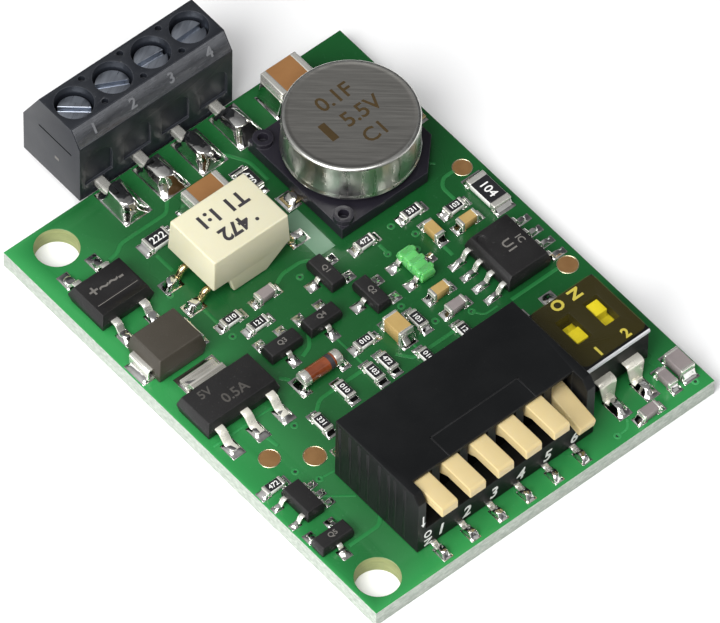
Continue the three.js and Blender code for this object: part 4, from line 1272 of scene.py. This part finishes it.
def makeMarks(name, marks, finish, depth=0.01, bold=0.015):
    # a list of marks as one piece
    addPiece(name, [lettering(text, centre, height, along, up, depth, slant, bold)
                    for text, centre, height, along, up, slant in marks], finishes[finish])


def makeBar(name, low, high, finish):
    # a thin flat bar between two corners
    addPiece(name, [softBlock(low, high, 0.006, 1)], finishes[finish])


def makeAllMarks():
    # one piece for each part that carries marks and for each bar
    on = markFaces
    chipTurns = [(south, east)] * 2 + [(east, north)] * 3
    designators = [(f"Q{n + 1}", (*middle(f"transistor_{n + 1}")[:2], on["transistor"]), 0.5, *turns, 0)
                   for n, turns in enumerate(chipTurns)]
    makeMarks("component_marks", [
        ("+~~-", (3.0, 32.75, on["rectifier"]), 0.72, east, north, 0),
        ("U1", (26.9, 17.2, on["chip"]), 0.75, south, east, 0),
        ("IC", (27.9, 17.2, on["chip"]), 0.55, south, east, 0),
    ] + designators, "greyInk")
    makeMarks("regulator_marks", [
        ("5V", (2.2, 21.0, on["regulator"]), 0.7, east, north, 0),
        ("0.5A", (3.9, 19.75, on["regulator"]), 0.85, east, north, 0),
    ], "dimInk")
    # a painted highlight along a groove on the rectifier's top
    makeBar("rectifier_groove_highlight", (1.35, 31.5, 1.64), (4.9, 31.56, 1.656), "greyInk")
    makeMarks("can_marks", [
        ("0.1F", (24.2, 33.15, on["can"]), 1.3, east, north, 0),
        ("5.5V", (24.9, 31.0, on["can"]), 1.3, east, north, 0),
        ("C1", (24.5, 28.95, on["can"]), 1.25, east, north, 0),
    ], "brownInk", 0.012, 0.012)
    makeBar("can_polarity_bar", (21.6, 30.15, 5.005), (22.2, 31.85, 5.022), "brownInk")
    makeMarks("transformer_marks", [
        ("T1 1:1", (11.9, 30.75, on["case"]), 1.25, west, south, 0),
        ("472", (11.6, 28.95, on["case"]), 1.25, west, south, 0),
        (".", (13.35, 28.6, on["case"]), 0.3, west, south, 0),
    ], "blackInk", 0.012, 0.03)
    makeMarks("piano_switch_marks", [
        (str(n + 1), (x, on["wall"], pianoLook["digitZ"]), 1.08, east, top, 0.2)
        for n, x in enumerate(leverDigits)
    ] + [
        ("O", (6.4, on["wall"], 1.5), 0.7, down, east, 0), ("N", (6.43, on["wall"], 0.6), 0.7, down, east, 0),
    ], "whiteInk", bold=0.022)
    makeMarks("slide_switch_marks", [
        ("O", (24.8, 9.75, on["film"]), 0.95, east, north, 0),
        ("N", (26.4, 9.75, on["film"]), 0.95, south, east, 0),
        ("1", (24.4, 4.95, on["film"]), 0.85, east, north, 0),
        ("2", (26.9, 4.95, on["film"]), 0.85, east, north, 0),
    ], "yellowInk", bold=0.035)
    look = terminalLook
    # the digits are the housing's own black plastic, coloured grey as a painted highlight
    makeMarks("terminal_marks", [
        (str(n + 1), (look["firstX"] + n * look["pitch"], 41.1, 6.24), 0.85, east, tuple(chamferRise), 0)
        for n in range(look["poles"])
    ], "embossedHighlight", 0.09, 0.02)


makeAllMarks()
print("marks done")


# the floor, the sky and the camera; angles in degrees, the aim and distance in millimetres
stageLook = {"floorHalf": 1.5, "floorColour": (0.92, 0.92, 0.92), "floorRough": 0.9, "worldPower": 0.5,
             "skyDark": (0.16, 0.16, 0.17), "skyBright": (1.7, 1.7, 1.7), "skyLean": (-0.55, 0.75)}
cameraLook = {"azimuth": -41.298, "elevation": 53.357, "roll": 1.175, "aim": (15.891, 20.412, 0.0),
              "distance": 788.67, "lens": 563.59, "sensor": 36.0, "nearest": 0.05}
# each lamp: its place in metres, its side in metres, and its power in watts
lamps = {"key": ((-0.22, -0.05, 0.22), 0.22, 1.15), "overhead": ((-0.1, -0.14, 0.37), 0.28, 0.66),
         "fill": ((0.15, -0.3, 0.15), 0.25, 0.08)}


def makeFloor():
    # one square sheet about the origin
    half = stageLook["floorHalf"]
    mesh = bpy.data.meshes.new("floor")
    corners = [(-half, -half, 0), (half, -half, 0), (half, half, 0), (-half, half, 0)]
    mesh.from_pydata(corners, [], [(0, 1, 2, 3)])
    floor = bpy.data.objects.new("floor", mesh)
    bpy.context.scene.collection.objects.link(floor)
    paper = bpy.data.materials.new("paper")
    paper.use_nodes = True
    shader = paper.node_tree.nodes["Principled BSDF"]
    shader.inputs["Base Color"].default_value = (*stageLook["floorColour"], 1.0)
    shader.inputs["Roughness"].default_value = stageLook["floorRough"]
    mesh.materials.append(paper)


def makeCamera():
    # stands back from the aimed place along the direction set by azimuth and elevation
    look = cameraLook
    azimuth, elevation, roll = (math.radians(look[key]) for key in ("azimuth", "elevation", "roll"))
    back = np.array([math.sin(azimuth) * math.cos(elevation), -math.cos(azimuth) * math.cos(elevation),
                     math.sin(elevation)])
    right = np.array([math.cos(azimuth), math.sin(azimuth), 0.0])
    up = np.cross(back, right)
    turnedRight = math.cos(roll) * right + math.sin(roll) * up
    turnedUp = math.cos(roll) * up - math.sin(roll) * right
    place = toFrame(look["aim"]) + back * look["distance"] * mm
    data = bpy.data.cameras.new("camera")
    data.lens = look["lens"]
    data.sensor_width = look["sensor"]
    data.clip_start = look["nearest"]
    camera = bpy.data.objects.new("camera", data)
    matrix = np.eye(4)
    matrix[:3, 0], matrix[:3, 1], matrix[:3, 2], matrix[:3, 3] = turnedRight, turnedUp, back, place
    camera.matrix_world = Matrix(matrix.tolist())
    bpy.context.scene.collection.objects.link(camera)
    bpy.context.scene.camera = camera


def makeLight(name, place, size, power):
    # a square panel that faces the board
    data = bpy.data.lights.new(name, "AREA")
    data.size = size
    data.energy = power
    light = bpy.data.objects.new(name, data)
    back = np.array(place) / np.linalg.norm(place)
    right = np.cross([0.0, 0.3, 1.0], back)
    right /= np.linalg.norm(right)
    matrix = np.eye(4)
    matrix[:3, 0], matrix[:3, 1], matrix[:3, 2], matrix[:3, 3] = right, np.cross(back, right), back, place
    light.matrix_world = Matrix(matrix.tolist())
    light.visible_camera = False
    bpy.context.scene.collection.objects.link(light)


def makeWorld():
    # brightest towards the upper left: the square of a weighted sum of the sky direction's parts
    world = bpy.data.worlds.new("studio")
    world.use_nodes = True
    tree = world.node_tree
    background = tree.nodes["Background"]
    parts = tree.nodes.new("ShaderNodeSeparateXYZ")
    tree.links.new(tree.nodes.new("ShaderNodeTexCoord").outputs["Generated"], parts.inputs[0])
    sideways, upward = stageLook["skyLean"]
    leaning = addMath(tree, "ADD", addMath(tree, "MULTIPLY", parts.outputs["Z"], upward),
                      addMath(tree, "MULTIPLY", parts.outputs["X"], sideways), True)
    colour = blended(tree, addMath(tree, "POWER", leaning, 2.0), stageLook["skyDark"], stageLook["skyBright"])
    tree.links.new(colour, background.inputs["Color"])
    background.inputs["Strength"].default_value = stageLook["worldPower"]
    bpy.context.scene.world = world


makeFloor()
makeCamera()
for name, (place, size, power) in lamps.items():
    makeLight(name, place, size, power)
makeWorld()
bpy.context.scene.view_settings.view_transform = "Standard"
print("stage done")
